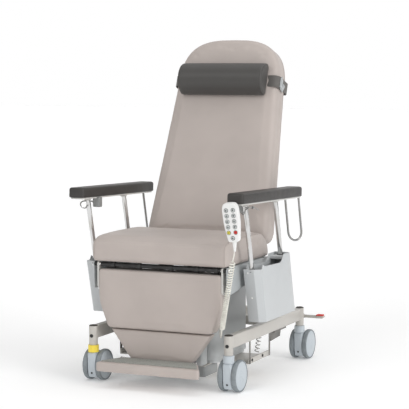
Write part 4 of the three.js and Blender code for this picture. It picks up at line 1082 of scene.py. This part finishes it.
class RECLINER_OT_pedals(bpy.types.Operator):
    """The two brake pedals with their hexagonal shafts"""

    bl_idname = "recliner.pedals"
    bl_label = "Brake pedals"

    def execute(self, context):
        for side, sx in SIDES:
            low, high = span(f"brake_pedal_{side}")
            x, tip = sx * POST_X, (high.x if sx > 0 else low.x)
            hub, end = POST_Y + POST_R + 1, POST_Y + POST_R + 17
            arm = Solid()
            arm.tube((x, low.y, BRAKE_Z), (x, end + 2, BRAKE_Z), 7, edge=0.4, sides=6)
            arm.tube((x, hub, BRAKE_Z), (x, end, BRAKE_Z), 13, edge=1.5, sides=40)
            arm.box((min(x, tip - sx * 6), hub + 1, BRAKE_Z - 6),
                (max(x, tip - sx * 6), end - 1, BRAKE_Z + 6), edge=2)
            tail = tip - sx * 34
            arm.box((min(tail, tip), hub - 4, BRAKE_Z - 2), (max(tail, tip), end + 4, BRAKE_Z + 5.5), edge=2)
            arm.finish(f"pedal_arm_{side}", f"brake_{side}", "frame_paint", "painted_frame",
                [f"brake_pedal_{side}"])
            pad = Solid()
            inner = tip - sx * 34
            pad.box((min(inner, tip - sx * 4), hub - 3, BRAKE_Z + 4),
                (max(inner, tip - sx * 4), end + 3, BRAKE_Z + 11), edge=3, segments=4)
            for i in range(5):
                rib = inner + sx * (5 + i * 6)
                pad.box((rib - 1, hub - 2, BRAKE_Z + 10), (rib + 1, end + 2, BRAKE_Z + 12), edge=0.5)
            pad.finish(f"pedal_tip_{side}", f"brake_{side}", "tip_plastic", "button_red")
        return {"FINISHED"}


# ---------------------------------------------------------------- casters
WHEEL_R = 62.5
TRAIL = 37


class RECLINER_OT_casters(bpy.types.Operator):
    """Four twin-wheel casters, one with the ring of the direction lock"""

    bl_idname = "recliner.casters"
    bl_label = "Casters"

    def execute(self, context):
        for corner, sx, sy in CORNERS:
            self.fork(corner, sx * POST_X, sy * POST_Y)
            self.wheels(corner, sx * POST_X, sy * POST_Y)
        return {"FINISHED"}

    def fork(self, corner, x, y):
        place = Matrix.Translation((x, y, 0))
        body = f"caster_{corner}"
        solid = Solid()
        ringed = corner == "front_left"
        radius = 17 if ringed else 22
        solid.lathe(
            [(0, 145.9), (radius - 1.6, 145.9), (radius, 144.2), (radius, 117.6), (radius - 1, 116.8),
                (0, 116.8)],
            (0, 0, 0), place=place,
        )  # fmt: skip
        hood = [*arc(TRAIL, WHEEL_R, 55, -64, 86, 16), (10, 116.4), (-17, 116.4), (-19.6, 108), (-20.5, 80),
            (-19, 50),
                (-14, 26), (-6, 15), (8, 12)]  # fmt: skip
        solid.plate(hood, 0, -17.8, 17.8, edge=4.5, segments=4, place=place)
        solid.tube((0, 0, 144), (0, 0, 168.6), 8, place=place)
        solid.finish(f"caster_hood_{corner}", body, "caster_plastic", "caster_shell",
            [f"caster_fork_{corner}"])
        screws = Solid()
        screws.lathe([(0, 0.6), (1.6, 1.4), (3.6, 1.2), (4.0, 0), (0, -1)], (0, -16.6, 34), (0, -1, -0.3),
            20, place)
        screws.finish(f"caster_screw_{corner}", body, "mechanism_black", "black_part")
        if ringed:
            ring = Solid()
            ring.lathe(
                [(17.3, 117.2), (20.8, 117.2), (21.5, 118), (21.5, 145), (20.8, 145.8), (17.3, 145.8)],
                (0, 0, 0), steps=64, place=place,
            )  # fmt: skip
            ring.box((-2, -22.6, 127), (2, -20.5, 136), edge=0.6, place=place)
            ring.finish("direction_ring", body, "ring_plastic", "yellow_ring", ["lock_ring"])

    def wheels(self, corner, x, y):
        discs, tyres = Solid(), Solid()
        place = Matrix.Translation((x, y, 0))
        for turn in (1, -1):
            discs.lathe(
                [(0, 38.9), (9.6, 38.9), (10.2, 38.2), (11.0, 38.2), (11.6, 38.9), (20, 39.1), (20.7, 38.5),
                    (21.3, 38.5),
                 (22, 39.2), (50, 39.0), (55.6, 37.4), (56.6, 36.2), (56.6, 21.4), (52, 20.4), (24,
                     20), (22, 19.2), (0, 19.2)],
                (0, TRAIL, WHEEL_R), (turn, 0, 0), 72, place,
            )  # fmt: skip
            tyres.lathe(
                [(56.2, 20.0), (59, 19.2), (61, 20.2), (62.2, 22.6), (62.5, 26), (62.5, 33), (62.0, 36),
                    (60.4, 38.2),
                 (58, 39.0), (56.8, 38.4), (56.2, 37.0)],
                (0, TRAIL, WHEEL_R), (turn, 0, 0), 96, place,
            )  # fmt: skip
        discs.tube((-19.4, TRAIL, WHEEL_R), (19.4, TRAIL, WHEEL_R), 6, place=place)
        discs.finish(f"wheel_discs_{corner}", f"wheel_{corner}", "caster_plastic", "caster_shell",
            [f"caster_wheel_{corner}"])
        tyres.finish(f"tyres_{corner}", f"wheel_{corner}", "tyre_rubber", "caster_tyre")


# ---------------------------------------------------------------- seat
class RECLINER_OT_seat(bpy.types.Operator):
    """The seat cushion with its sewn front seam and piped ends"""

    bl_idname = "recliner.seat"
    bl_label = "Seat cushion"

    def execute(self, context):
        low, high = span("seat_cushion")
        front, bottom, top = low.y, low.z, high.z
        centre, radius = high.y - (top - bottom), top - bottom
        profile = [
            *bend((front + 16, bottom), (front + 2, bottom), (front + 1, bottom + 26)),
            *bend((front + 2, top - 34), (front + 3, top - 22), (front + 15, top - 16), 4),
            *bend((front + 46, top - 5), (front + 80, top), (-200, top + 1)),
            (centre, top),
            *arc(centre, bottom, radius, 84, 0, 12),
        ]
        half = high.x
        solid = Solid()
        solid.plate(profile, 0, -half, half, edge=17, segments=5)
        seat = stuffed(
            solid, "seat_pad", "seat", "cover_vinyl", "taupe_upholstery", "seat_cushion",
            held=lambda p: p.z < bottom + 9, swell=0.6,
        )  # fmt: skip
        seam = [(x, front + 2, top - 23) for x in range(-278, 279, 4)]
        press(seat, seam, 2.4, 1.2)
        edges = []
        for _, sx in SIDES:
            line = [(sx * (half - 7), a, b) for a, b in profile[3:]]
            edges.append(smooth_path(line, 6))
        for path in edges:
            press(seat, path, 4.5, 1.8)
        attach(seat, "seat")
        sewn_on(seat, "seat_piping", edges, "piping_vinyl", "taupe_upholstery", "seat")
        return {"FINISHED"}


class RECLINER_OT_seat_frame(bpy.types.Operator):
    """The frame under the seat, its pivots, fasteners and the two actuators"""

    bl_idname = "recliner.seat_frame"
    bl_label = "Seat frame"

    def execute(self, context):
        refined("seat_frame", "seat_carrier", "seat", "bracket_paint", "grey_bracket")
        shaft = Solid()
        low, high = span("leg_pivot_shaft")
        y, z = (low.y + high.y) / 2, (low.z + high.z) / 2
        shaft.tube((low.x, y, z), (high.x, y, z), 8, edge=1)
        for x in (-210, -96, 40, 150, 232):
            shaft.tube((x, y, z), (x + 16, y, z), 11.5, edge=1.2)
        shaft.box((-272, y + 14, z - 4), (272, y + 40, z + 5), edge=1.5)
        shaft.finish("pivot_bar", "seat", "mechanism_black", "black_part", ["leg_pivot_shaft"])
        bright = Solid()
        for _, sx in SIDES:
            dome = [(0, 6.2), (4, 5.8), (7.4, 4), (9.2, 1.4), (9.4, 0), (0, 0)]
            bright.lathe(dome, (sx * (high.x - 0.4), y, z), (sx, 0, 0), 40)
            bright.lathe(dome, (sx * 262, y - 2, z), (-sx, 0, 0), 40)
        bright.box((-52, y + 2, z - 5), (-20, y + 14, z + 6), edge=1.5)
        bright.rod(smooth_path([(52, y, z + 9), (66, y - 4, z - 1), (84, y, z - 6), (96, y + 8, z - 2)], 3),
            1.6)
        bright.rod(smooth_path([(-180, y, z + 6), (-168, y - 4, z - 5), (-150, y + 2, z - 8)], 3), 1.4)
        bright.rod(smooth_path([(176, y, z + 8), (184, y - 5, z), (200, y - 3, z - 8)], 3), 1.6)
        bright.finish("pivot_fittings", "seat", "tube_chrome", "plain_steel")
        for name, rod_body in (("leg_actuator", "leg_rod"), ("back_actuator", "back_rod")):
            refined(name, f"{name}_housing", "seat", "black_plastic", "black_part")
            refined(f"{name}_rod", f"{name}_piston", rod_body, "tube_chrome", "chrome_tube", 0.4)
        return {"FINISHED"}


class RECLINER_OT_pockets(bpy.types.Operator):
    """The side pockets, the grommets around the posts, and their rivets"""

    bl_idname = "recliner.pockets"
    bl_label = "Side pockets"

    def execute(self, context):
        for side, sx in SIDES:
            refined(f"side_pocket_{side}", f"pocket_{side}", "seat", "pocket_plastic", "pocket_plastic", 1.4)
            grommets, rivets = Solid(), Solid()
            lean = Vector((0, -ARM_LEAN, 1)).normalized()
            for y, z in ((-336, 460.4), (-24, 490.4)):
                spot = (sx * (ARM_X + 1), y + (719 - z) * ARM_LEAN, z)
                grommets.lathe([(10.2, 3.4), (12.4, 3), (14.6, 0.6), (14.8, -1), (10.2, -1)], spot, lean, 40)
            grommets.finish(f"pocket_grommets_{side}", "seat", "black_plastic", "black_part")
            for x, z in ((327, 452), (335, 352)):
                y = -294 + (501 - z) * ARM_LEAN - 0.4
                rivets.lathe([(0, 1.6), (2.4, 1.2), (3.6, 0.2), (3.6, -1), (0, -1)], (sx * x, y, z),
                    (0, -1, -0.26), 20)
            rivets.finish(f"pocket_rivets_{side}", "seat", "handset_plastic", "pocket_plastic")
        return {"FINISHED"}


# ---------------------------------------------------------------- back
BACK_HALF_LOW = span("backrest_cushion")[1].x
BACK_HALF_SHOULDER = BACK_HALF_LOW - 41
BACK_SHOULDER = 594
BACK_TOP = 827
BACK_LOW = -48
BACK_T = 95
BACK_ROUND = 2 / 3  # power of the rounded top's outline


def back_outline(inset):
    """The back's face as (x, s) points: tapered sides under a rounded top."""
    low, shoulder = BACK_HALF_LOW - inset, BACK_HALF_SHOULDER - inset
    bottom = BACK_LOW + inset
    right = [*bend((low - 44, bottom), (low, bottom), (low - 2, bottom + 46), 6), (shoulder + 14, 370)]
    top = []
    steps = 26
    for i in range(steps + 1):
        a = i * math.pi / steps
        x = math.copysign(abs(math.cos(a)) ** BACK_ROUND, math.cos(a))
        rise = max(math.sin(a), 0) ** BACK_ROUND
        top.append((shoulder * x, BACK_SHOULDER + (BACK_TOP - inset - BACK_SHOULDER) * rise))
    return [*right, *top, *[(-x, s) for x, s in reversed(right)]]


class RECLINER_OT_back(bpy.types.Operator):
    """The back cushion, its rear welt, the shell behind it and the push handle"""

    bl_idname = "recliner.back"
    bl_label = "Back rest"

    def execute(self, context):
        bm_solid = Solid()
        bm = bmesh.new()
        face = bm.faces.new([bm.verts.new((x, s, -BACK_T)) for x, s in back_outline(0)])
        grown = bmesh.ops.extrude_face_region(bm, geom=[face])["geom"]
        moved = [g for g in grown if isinstance(g, bmesh.types.BMVert)]
        bmesh.ops.translate(bm, vec=(0, 0, BACK_T), verts=moved)
        bmesh.ops.recalc_face_normals(bm, faces=bm.faces)
        rim = [e for e in bm.edges if all(v.co.z > -1 for v in e.verts)]
        round_edges(bm, rim, 30, 7)
        rim = [e for e in bm.edges if all(v.co.z < 1 - BACK_T for v in e.verts)]
        round_edges(bm, rim, 9, 3)
        bm_solid.take(bm)
        inverse = BACK.inverted()
        cushion = stuffed(
            bm_solid, "back_pad", "backrest", "cover_vinyl", "taupe_upholstery", "backrest_cushion",
            held=lambda p: (inverse @ p).z < 7 - BACK_T, swell=0.9, place=BACK,
        )  # fmt: skip
        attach(cushion, "backrest")
        welt = [BACK @ Vector((x, s, 12 - BACK_T)) for x, s in back_outline(-3)]
        welt = smooth_path([*welt, welt[0]], 8)
        sewn_on(cushion, "back_piping", [welt], "piping_vinyl", "taupe_upholstery", "backrest", lift=0.2)
        refined("backrest_shell", "back_shell", "backrest", "cover_plastic", "grey_cover", 1.2)
        self.handle()
        return {"FINISHED"}

    def handle(self):
        face = -BACK_T - 12.6
        s = 520
        grip = Solid()
        path = smooth_path(
            [(-165, s, face), (-165, s, face - 22), (-150, s, face - 48), (-118, s, face - 58),
                (0, s, face - 58),
             (118, s, face - 58), (150, s, face - 48), (165, s, face - 22), (165, s, face)], 7,
        )  # fmt: skip
        grip.rod(path, 11, sides=24, across=(0, 1, 0))
        grip.finish("push_bar", "backrest", "tube_chrome", "chrome_tube", ["push_handle"], place=BACK)
        sleeve = Solid()
        inner = [p for p in path if abs(p.x) < 112]
        sleeve.rod(inner, 13, sides=28, across=(0, 1, 0))
        for _, sx in SIDES:
            sleeve.lathe([(11.2, 0), (20, 0), (20, -2.4), (17, -4), (11.2, -4)], (sx * 165, s, face + 0.4),
                steps=40)
        sleeve.finish("push_grip", "backrest", "black_plastic", "black_part", place=BACK)
        screws = Solid()
        for x, z in ((-150, 60), (150, 60), (-150, 640), (150, 640), (0, 740), (-190, 330), (190, 330)):
            screws.lathe([(0, 0.8), (2, 2.2), (5, 1.8), (6, 0), (0, 0)], (x, z, face + 0.2), (0, 0, -1), 24)
        screws.finish("shell_screws", "backrest", "mechanism_black", "black_part", place=BACK)


class RECLINER_OT_pillow(bpy.types.Operator):
    """The head pillow, its piped ends, its strap and the strap's clasp"""

    bl_idname = "recliner.pillow"
    bl_label = "Head pillow"

    def execute(self, context):
        middle, half_height, depth, half = 633, 70, 84, span("head_pillow")[1].x
        flat = 3.1
        outline = [(middle - half_height + 10, flat)]
        for i in range(17):
            a = math.pi + 0.10 - i * (math.pi + 0.2) / 16
            outline.append((middle + half_height * math.cos(a), flat + 12 + (depth - 12) * math.sin(a)))
        outline.append((middle + half_height - 10, flat))
        solid = Solid()
        solid.plate(outline, 0, -half, half, edge=9, segments=4)
        inverse = BACK.inverted()
        pillow = stuffed(
            solid, "pillow_pad", "pillow", "pillow_vinyl", "pillow_cover", "head_pillow",
            held=lambda p: (inverse @ p).z < flat + 6, voxel=0.8, place=BACK,
        )  # fmt: skip
        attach(pillow, "pillow")
        ends = []
        for _, sx in SIDES:
            ring = [BACK @ Vector((sx * (half - 2), *p)) for p in outline[1:-1]]
            ends.append(smooth_path(ring, 4))
        for path in ends:
            press(pillow, path, 3, 0.8)
        sewn_on(pillow, "pillow_piping", ends, "pillow_piping", "pillow_cover", "pillow", radius=1.5)
        self.strap(middle)
        return {"FINISHED"}

    def strap(self, middle):
        half, rear, thick = 236, -BACK_T - 15.2, 1.3
        corner = 22
        loop = [
            *[(x, 2.2) for x in range(0, half - corner - 10, 20)],
            *arc(half - corner, 1.8 - corner, corner, 90, 0, 6),
            *arc(half - 8, rear + 8, 8, 0, -90, 4),
        ]
        right = [(x, middle, z) for x, z in loop]
        left = [(-x, s, z) for x, s, z in right[::-1]]
        across = [(x, middle, rear) for x in range(210, -211, -30)]
        ring = Solid()
        ring.rod(smooth_path([*right, *across, *left], 6), thick, sides=12, width=50, across=(0, 1, 0))
        ring.finish("strap", "pillow", "strap_webbing", "dark_strap", ["pillow_strap"], place=BACK)
        clasp = Solid()
        for low, high in (((-6, middle - 28, -1.6), (6, middle + 28, 2.6)),
            ((-14, middle - 20, 0), (14, middle + 20, 2))):
            clasp.box(
                low, high, edge=1.2,
                place=Matrix.Translation((half + 1.6, 0, -30)) @ Matrix.Rotation(math.pi / 2, 4, "Y"),
            )  # fmt: skip
        clasp.rod(
            smooth_path([(half + 2.6, middle - 12, -44), (half + 3.5, middle - 14, -50),
                (half + 3.2, middle - 18, -58)], 3),
            1.1, sides=12, width=36, across=(0, 1, 0),
        )  # fmt: skip
        clasp.finish("strap_clasp", "pillow", "bracket_paint", "dark_strap", place=BACK)


# ---------------------------------------------------------------- leg section
def tapered(low, high, half_low, half_top, corner):
    """An (x, z) outline that narrows downwards."""
    points = []
    for sx, order in ((1, 1), (-1, -1)):
        side = [(sx * half_low, low), (sx * half_top, high)][::order]
        for a, b in side:
            inner = (a - sx * corner, b)
            outer = (a + sx * (half_top - half_low) * corner / (high - low) * (1 if b == low else -1),
                b + corner * (1 if b == low else -1))
            pair = bend(inner, (a, b), outer, 4) if (b == low) == (sx > 0) else bend(outer, (a, b), inner, 4)
            points.extend(pair)
    return points


class RECLINER_OT_leg(bpy.types.Operator):
    """The calf pad and the frame that carries it"""

    bl_idname = "recliner.leg"
    bl_label = "Leg rest"

    def execute(self, context):
        low, high = span("calf_pad")
        right = [
            *bend((212, low.z), (224, low.z), (229, low.z + 13), 4),
            *bend((255, low.z + 82), (263, low.z + 104), (264, low.z + 128), 6),
            *bend((264, high.z - 8), (264, high.z), (256, high.z), 4),
        ]  # fmt: skip
        outline = [*right, *[(-x, z) for x, z in reversed(right)]]
        solid = Solid()
        solid.plate(outline, 1, low.y, high.y, edge=11, segments=4)
        pad = stuffed(
            solid, "calf_cushion", "legrest", "cover_vinyl", "taupe_upholstery", "calf_pad",
            held=lambda p: p.y > high.y - 7, swell=0.35,
        )  # fmt: skip
        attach(pad, "legrest")
        welt = smooth_path([(x, high.y - 11, z) for x, z in [*outline, outline[0]]], 6)
        sewn_on(pad, "calf_piping", [welt], "piping_vinyl", "taupe_upholstery", "legrest", lift=0.2)
        refined("legrest_frame", "leg_carrier", "legrest", "plate_paint", "grey_bracket", 0.8)
        return {"FINISHED"}


class RECLINER_OT_foot(bpy.types.Operator):
    """The lower pad on its sliding frame, and the folding footplate with its mat"""

    bl_idname = "recliner.foot"
    bl_label = "Foot section"

    def execute(self, context):
        low, high = span("lower_leg_pad")
        outline = tapered(low.z - 7, high.z, 133, 218, 4)
        solid = Solid()
        solid.plate(outline, 1, low.y - 2, high.y, edge=5, segments=3)
        pad = stuffed(
            solid, "shin_cushion", "foot_section", "cover_vinyl", "taupe_upholstery", "lower_leg_pad",
            held=lambda p: p.y > high.y - 6, swell=0.4, voxel=0.85,
        )  # fmt: skip
        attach(pad, "foot_section")
        refined("foot_frame", "foot_slide", "foot_section", "shaft_steel", "plain_steel")
        self.plate()
        return {"FINISHED"}

    def plate(self):
        low, high = span("footplate")
        mat_low, mat_high = span("footplate_mat")
        front, rear, half_front, half_rear = low.y, high.y, high.x, 165
        plan = [
            (-half_front + 6, front), (half_front - 6, front), (half_front, front + 7), (half_rear, rear),
            (-half_rear, rear), (-half_front, front + 7),
        ]  # fmt: skip
        board = Solid()
        board.plate(plan, 2, low.z, high.z - 0.9, edge=6.5, segments=5)
        pad = stuffed(
            board, "footplate_pad", "footboard", "cover_vinyl", "taupe_upholstery", "footplate",
            held=lambda p: p.z > high.z - 6 or p.z < low.z + 6 or p.y > rear - 8, swell=0.35, voxel=0.8,
        )  # fmt: skip
        for z in (low.z + 6, high.z - 7):
            press(pad, [(x, front, z) for x in range(-210, 211, 4)], 2.4, 0.7)
        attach(pad, "footboard")
        slope = (half_front - half_rear) / (rear - front)
        edge = mat_low.y
        wide = half_front - slope * (edge - front) - 8
        mat = Solid()
        mat.plate(
            [(-wide, edge), (wide, edge), (half_rear - 8, mat_high.y), (8 - half_rear, mat_high.y)],
            2, mat_low.z - 1.2, mat_high.z, edge=0.8,
        )  # fmt: skip
        mat.finish("foot_mat", "footboard", "mat_rubber", "footplate_mat", ["footplate_mat"])
        fittings = Solid()
        for _, sx in SIDES:
            for x, y in ((half_rear - 4, rear - 7), (half_rear - 16, rear - 8)):
                fittings.lathe([(0, 2.6), (3.6, 2.4), (4.8, 1), (5, 0), (0, 0)],
                    (sx * x, y, mat_high.z - 0.4), steps=28)
            fittings.box((min(sx * 148, sx * 166), rear - 15, mat_high.z - 1.4),
                (max(sx * 148, sx * 166), rear - 1, mat_high.z + 0.2), edge=0.5)
        fittings.finish("footplate_fittings", "footboard", "tube_chrome", "plain_steel")


# ---------------------------------------------------------------- armrests
class RECLINER_OT_arms(bpy.types.Operator):
    """Both armrests: moulded pads, under-plates, chromed posts, hanging loops and release levers"""

    bl_idname = "recliner.arms"
    bl_label = "Armrests"

    def execute(self, context):
        for side, sx in SIDES:
            self.pad(side, sx)
            self.frame_of(side, sx)
            self.lever(side, sx)
        return {"FINISHED"}

    def pad(self, side, sx):
        x, front, rear, low = sx * ARM_X, ARM_FRONT[1], ARM_REAR, 733.3
        solid = Solid()
        bm = bmesh.new()
        bmesh.ops.create_cube(bm, size=1)
        bmesh.ops.scale(bm, vec=(69, rear - front, 39.6), verts=bm.verts)
        bmesh.ops.translate(bm, vec=(x, (front + rear) / 2, low + 19.8), verts=bm.verts)
        upright = [e for e in bm.edges if abs(e.verts[1].co.z - e.verts[0].co.z) > 1]
        round_edges(bm, upright, 15, 7)
        rim = [e for e in bm.edges if all(v.co.z > low + 39 for v in e.verts)]
        round_edges(bm, rim, 10, 6)
        rim = [e for e in bm.edges if all(v.co.z < low + 0.5 for v in e.verts)]
        round_edges(bm, rim, 4, 3)
        solid.take(bm)
        solid.finish(f"arm_cushion_{side}", f"arm_{side}", "pad_skin", "dark_armrest_pad",
            [f"arm_pad_{side}"], place=ARM)

    def frame_of(self, side, sx):
        x = sx * (ARM_X + 1)
        body = f"arm_{side}"
        tubes, plate, loop = Solid(), Solid(), Solid()
        for y, top, low in ((-336, 726, 434), (-24, 718, 450)):
            tubes.tube((x, y + (719 - top) * ARM_LEAN, top), (x, y + (719 - low) * ARM_LEAN, low), 9.75,
                edge=1, sides=48)
            collar = (x, y + (719 - 722) * ARM_LEAN, 723 if y < -100 else 714.5)
            plate.lathe([(9.9, 0), (15, 0), (15, -2.2), (12.4, -5), (9.9, -5)], collar, (0, -ARM_LEAN, 1), 40)
        tubes.finish(f"arm_tubes_{side}", body, "tube_chrome", "chrome_tube", [f"arm_frame_{side}"])
        plate.box((x - 29, ARM_FRONT[1] + 9, 727.2), (x + 29, ARM_REAR - 4, 733), edge=1, corner=12,
            place=ARM)
        for y in (-395, -180, 90):
            plate.lathe([(0, 2.4), (3.4, 2.4), (4.6, 1.2), (4.8, 0), (0, 0)], (x, y, 727.2), (0, 0, -1), 24,
                ARM)
        plate.finish(f"arm_plate_{side}", body, "plate_paint", "painted_frame")
        half, turn, middle = 37, math.radians(26), 160
        points = []
        for across, z in [
            *[(-half, z) for z in (714, 690, 655, 620, 584)],
            *[(-half * math.cos(a), 568 - half * math.sin(a)) for a in (math.pi * i / 12 for i in range(13))],
            *[(half, z) for z in (584, 620, 655, 690, 712)],
        ]:
            y = middle + (713 - z) * ARM_LEAN
            points.append((x + sx * across * math.sin(turn), y + across * math.cos(turn), z))
        loop.rod(smooth_path(points, 5), 4.5, sides=16)
        loop.finish(f"hanging_loop_{side}", body, "loop_steel", "chrome_tube")
        latch = Solid()
        low = (sx * (ARM_X - 24) - 14, -316, 687)
        high = (sx * (ARM_X - 24) + 14, -286, 727)
        latch.box(low, high, edge=2.5, segments=3, corner=6, axis=0)
        latch.box((low[0] - 0.8, -309, 698), (high[0] + 0.8, -293, 708), edge=0.8)
        latch.finish(f"latch_block_{side}", body, "latch_grey", "grey_bracket")

    def lever(self, side, sx):
        z, y, x = 709, -302, sx * (ARM_X + 17)
        solid = Solid()
        hook = [(x, y + 4, z), (x, y - 30, z + 3), (x, -362, z), (x - sx * 3, -372, z - 12),
                (x - sx * 12, -366, z - 22), (x - sx * 20, -358, z - 20), (x - sx * 24, -356, z - 10)]  # fmt: skip
        solid.rod(smooth_path(hook, 3), 2.8, sides=14)
        solid.tube((x, y, z), (sx * (ARM_X - 8), y, z), 2.8, edge=0.4, sides=20)
        solid.rod(smooth_path([(x, y, z), (x, y + 26, z - 4), (x, y + 62, z - 14)], 4), 1.8, sides=10)
        solid.tube((x - sx * 2, y, z), (x + sx * 5, y, z), 6, edge=1, sides=28)
        solid.finish(f"release_lever_{side}", f"release_{side}", "loop_steel", "plain_steel",
            [f"arm_lever_{side}"])


# ---------------------------------------------------------------- handset
KEY_R = 6.5
KEY_FACE = 12
RELIEF_BEND = 5  # sideways, over the strain relief


def key_places():
    """Number, local place and look of each key, row by row."""
    places = [(c * 28, 47 - r * 21.3) for r in range(5) for c in (-0.5, 0.5)]
    places.append((0, 47 - 5 * 21.3))
    looks = {8: ("key_yellow", "button_yellow"), 9: ("key_red", "button_red")}
    return [(f"{i + 1:02d}", x, y, *looks.get(i, ("key_plastic", "button_grey"))) for i,
        (x, y) in enumerate(places)]


class RECLINER_OT_handset(bpy.types.Operator):
    """The handset's shell and strain relief, and its eleven keys"""

    bl_idname = "recliner.handset"
    bl_label = "Handset"

    def execute(self, context):
        half, tall = 31.5, 75
        outline = [
            (-half * 0.5, -tall), (half * 0.5, -tall),
            *bend((half * 0.6, -tall + 2), (half * 0.74, -tall + 6), (half * 0.78, -tall + 24), 4),
            *bend((half * 0.9, -26), (half, -6), (half, 14), 3),
            *bend((half, tall - 30), (half, tall), (half * 0.3, tall), 8),
        ]  # fmt: skip
        outline = [*outline, *[(-x, y) for x, y in reversed(outline[2:])]]
        shell = Solid()
        shell.plate(outline, 2, -KEY_FACE, KEY_FACE, edge=5, segments=4)
        shell.lathe([(8.6, 0), (7.6, -8), (6.4, -20), (4.2, -40.5), (2.6, -40.6), (0, -40.6), (0, 0)],
            (0, -tall + 2, 0), (RELIEF_BEND, 42, 0), 32)
        for i in range(5):
            drop = 8 + i * 6.4
            radius = 8.2 - i * 0.85
            shell.lathe([(radius - 1.4, 0), (radius + 0.5, 0.6), (radius + 0.5, 2.2), (radius - 1.4, 2.8)],
                (-RELIEF_BEND * drop / 42, 2 - tall - drop, 0), (RELIEF_BEND, 42, 0), 28)
        shell.box((-9, -62, -17), (9, 40, -11), edge=2)
        shell.finish("handset_shell", "arm_right", "handset_plastic", "handset_white", ["handset_body"],
            place=HANDSET)
        rings = Solid()
        for number, x, y, look, slot in key_places():
            rings.lathe([(KEY_R + 0.2, 0.9), (KEY_R + 1.7, 0.6), (KEY_R + 2.0, -1), (KEY_R + 0.2, -1)],
                (x, y, KEY_FACE), steps=36)
            key = Solid()
            key.lathe(
                [(0, 1.7), (3.4, 1.55), (5.4, 1.1), (6.2, 0.3), (6.2, -2.8), (0, -2.8)], (x, y,
                    KEY_FACE), steps=36
            )
            body = f"button_{number}"
            key.finish(f"key_{number}", body, look, slot, [f"handset_button_{number}"], place=HANDSET)
            marks = Solid()
            up = 1 if int(number) % 2 else -1
            lift = KEY_FACE + 1.2
            if look == "key_plastic":
                arrow = [(-3.4, -0.4 * up), (3.4, -0.4 * up), (0, 4.0 * up)]
                marks.plate(arrow if up > 0 else arrow[::-1], 2, lift, lift + 0.75, edge=0.1,
                    place=Matrix.Translation((x, y, 0)))
                marks.box((x - 3.6, y - 1.7 * up - 0.8, lift - 0.1),
                    (x + 3.6, y - 1.7 * up + 0.8, lift + 0.65), edge=0.1)
                marks.box((x - 1.8, y - 3.4 * up - 0.5, lift - 0.1),
                    (x + 1.8, y - 3.4 * up + 0.5, lift + 0.4), edge=0.1)
            else:
                marks.lathe([(1.4, 0.2), (2.6, 0.2), (2.6, -0.6), (1.4, -0.6)], (x, y, KEY_FACE + 1.75),
                    steps=24)
            marks.finish(f"key_mark_{number}", body, "key_mark", slot, place=HANDSET)
        rings.finish("key_rings", "arm_right", "key_ring_plastic", "button_grey", place=HANDSET)
        return {"FINISHED"}


# ---------------------------------------------------------------- the add-on
class RECLINER_PT_panel(bpy.types.Panel):
    """Builds the chair piece by piece"""

    bl_idname = "RECLINER_PT_panel"
    bl_label = "Patient recliner"
    bl_space_type = "VIEW_3D"
    bl_region_type = "UI"
    bl_category = "Recliner"

    def draw(self, context):
        layout = self.layout
        for group in ("recliner_upholstery", "recliner_frame", "recliner_stage"):
            box = layout.box()
            settings = getattr(context.scene, group)
            for name in settings.__annotations__:
                box.prop(settings, name)
        for operator in PIECES:
            layout.operator(operator.bl_idname)


PIECES = (
    RECLINER_OT_stage,
    RECLINER_OT_cord,
    RECLINER_OT_base,
    RECLINER_OT_tray,
    RECLINER_OT_column,
    RECLINER_OT_pedals,
    RECLINER_OT_casters,
    RECLINER_OT_seat,
    RECLINER_OT_seat_frame,
    RECLINER_OT_pockets,
    RECLINER_OT_back,
    RECLINER_OT_pillow,
    RECLINER_OT_leg,
    RECLINER_OT_foot,
    RECLINER_OT_arms,
    RECLINER_OT_handset,
)
SETTINGS = (
    ("recliner_upholstery", UpholsterySettings),
    ("recliner_frame", FrameSettings),
    ("recliner_stage", StageSettings),
)


def register():
    for name, group in SETTINGS:
        bpy.utils.register_class(group)
        setattr(bpy.types.Scene, name, bpy.props.PointerProperty(type=group))
    for made in (*PIECES, RECLINER_PT_panel):
        bpy.utils.register_class(made)


def unregister():
    for made in reversed((*PIECES, RECLINER_PT_panel)):
        bpy.utils.unregister_class(made)
    for name, group in reversed(SETTINGS):
        delattr(bpy.types.Scene, name)
        bpy.utils.unregister_class(group)


def main():
    register()
    for piece in PIECES:
        getattr(bpy.ops.recliner, piece.bl_idname.split(".")[1])()


if __name__ == "__main__":
    main()
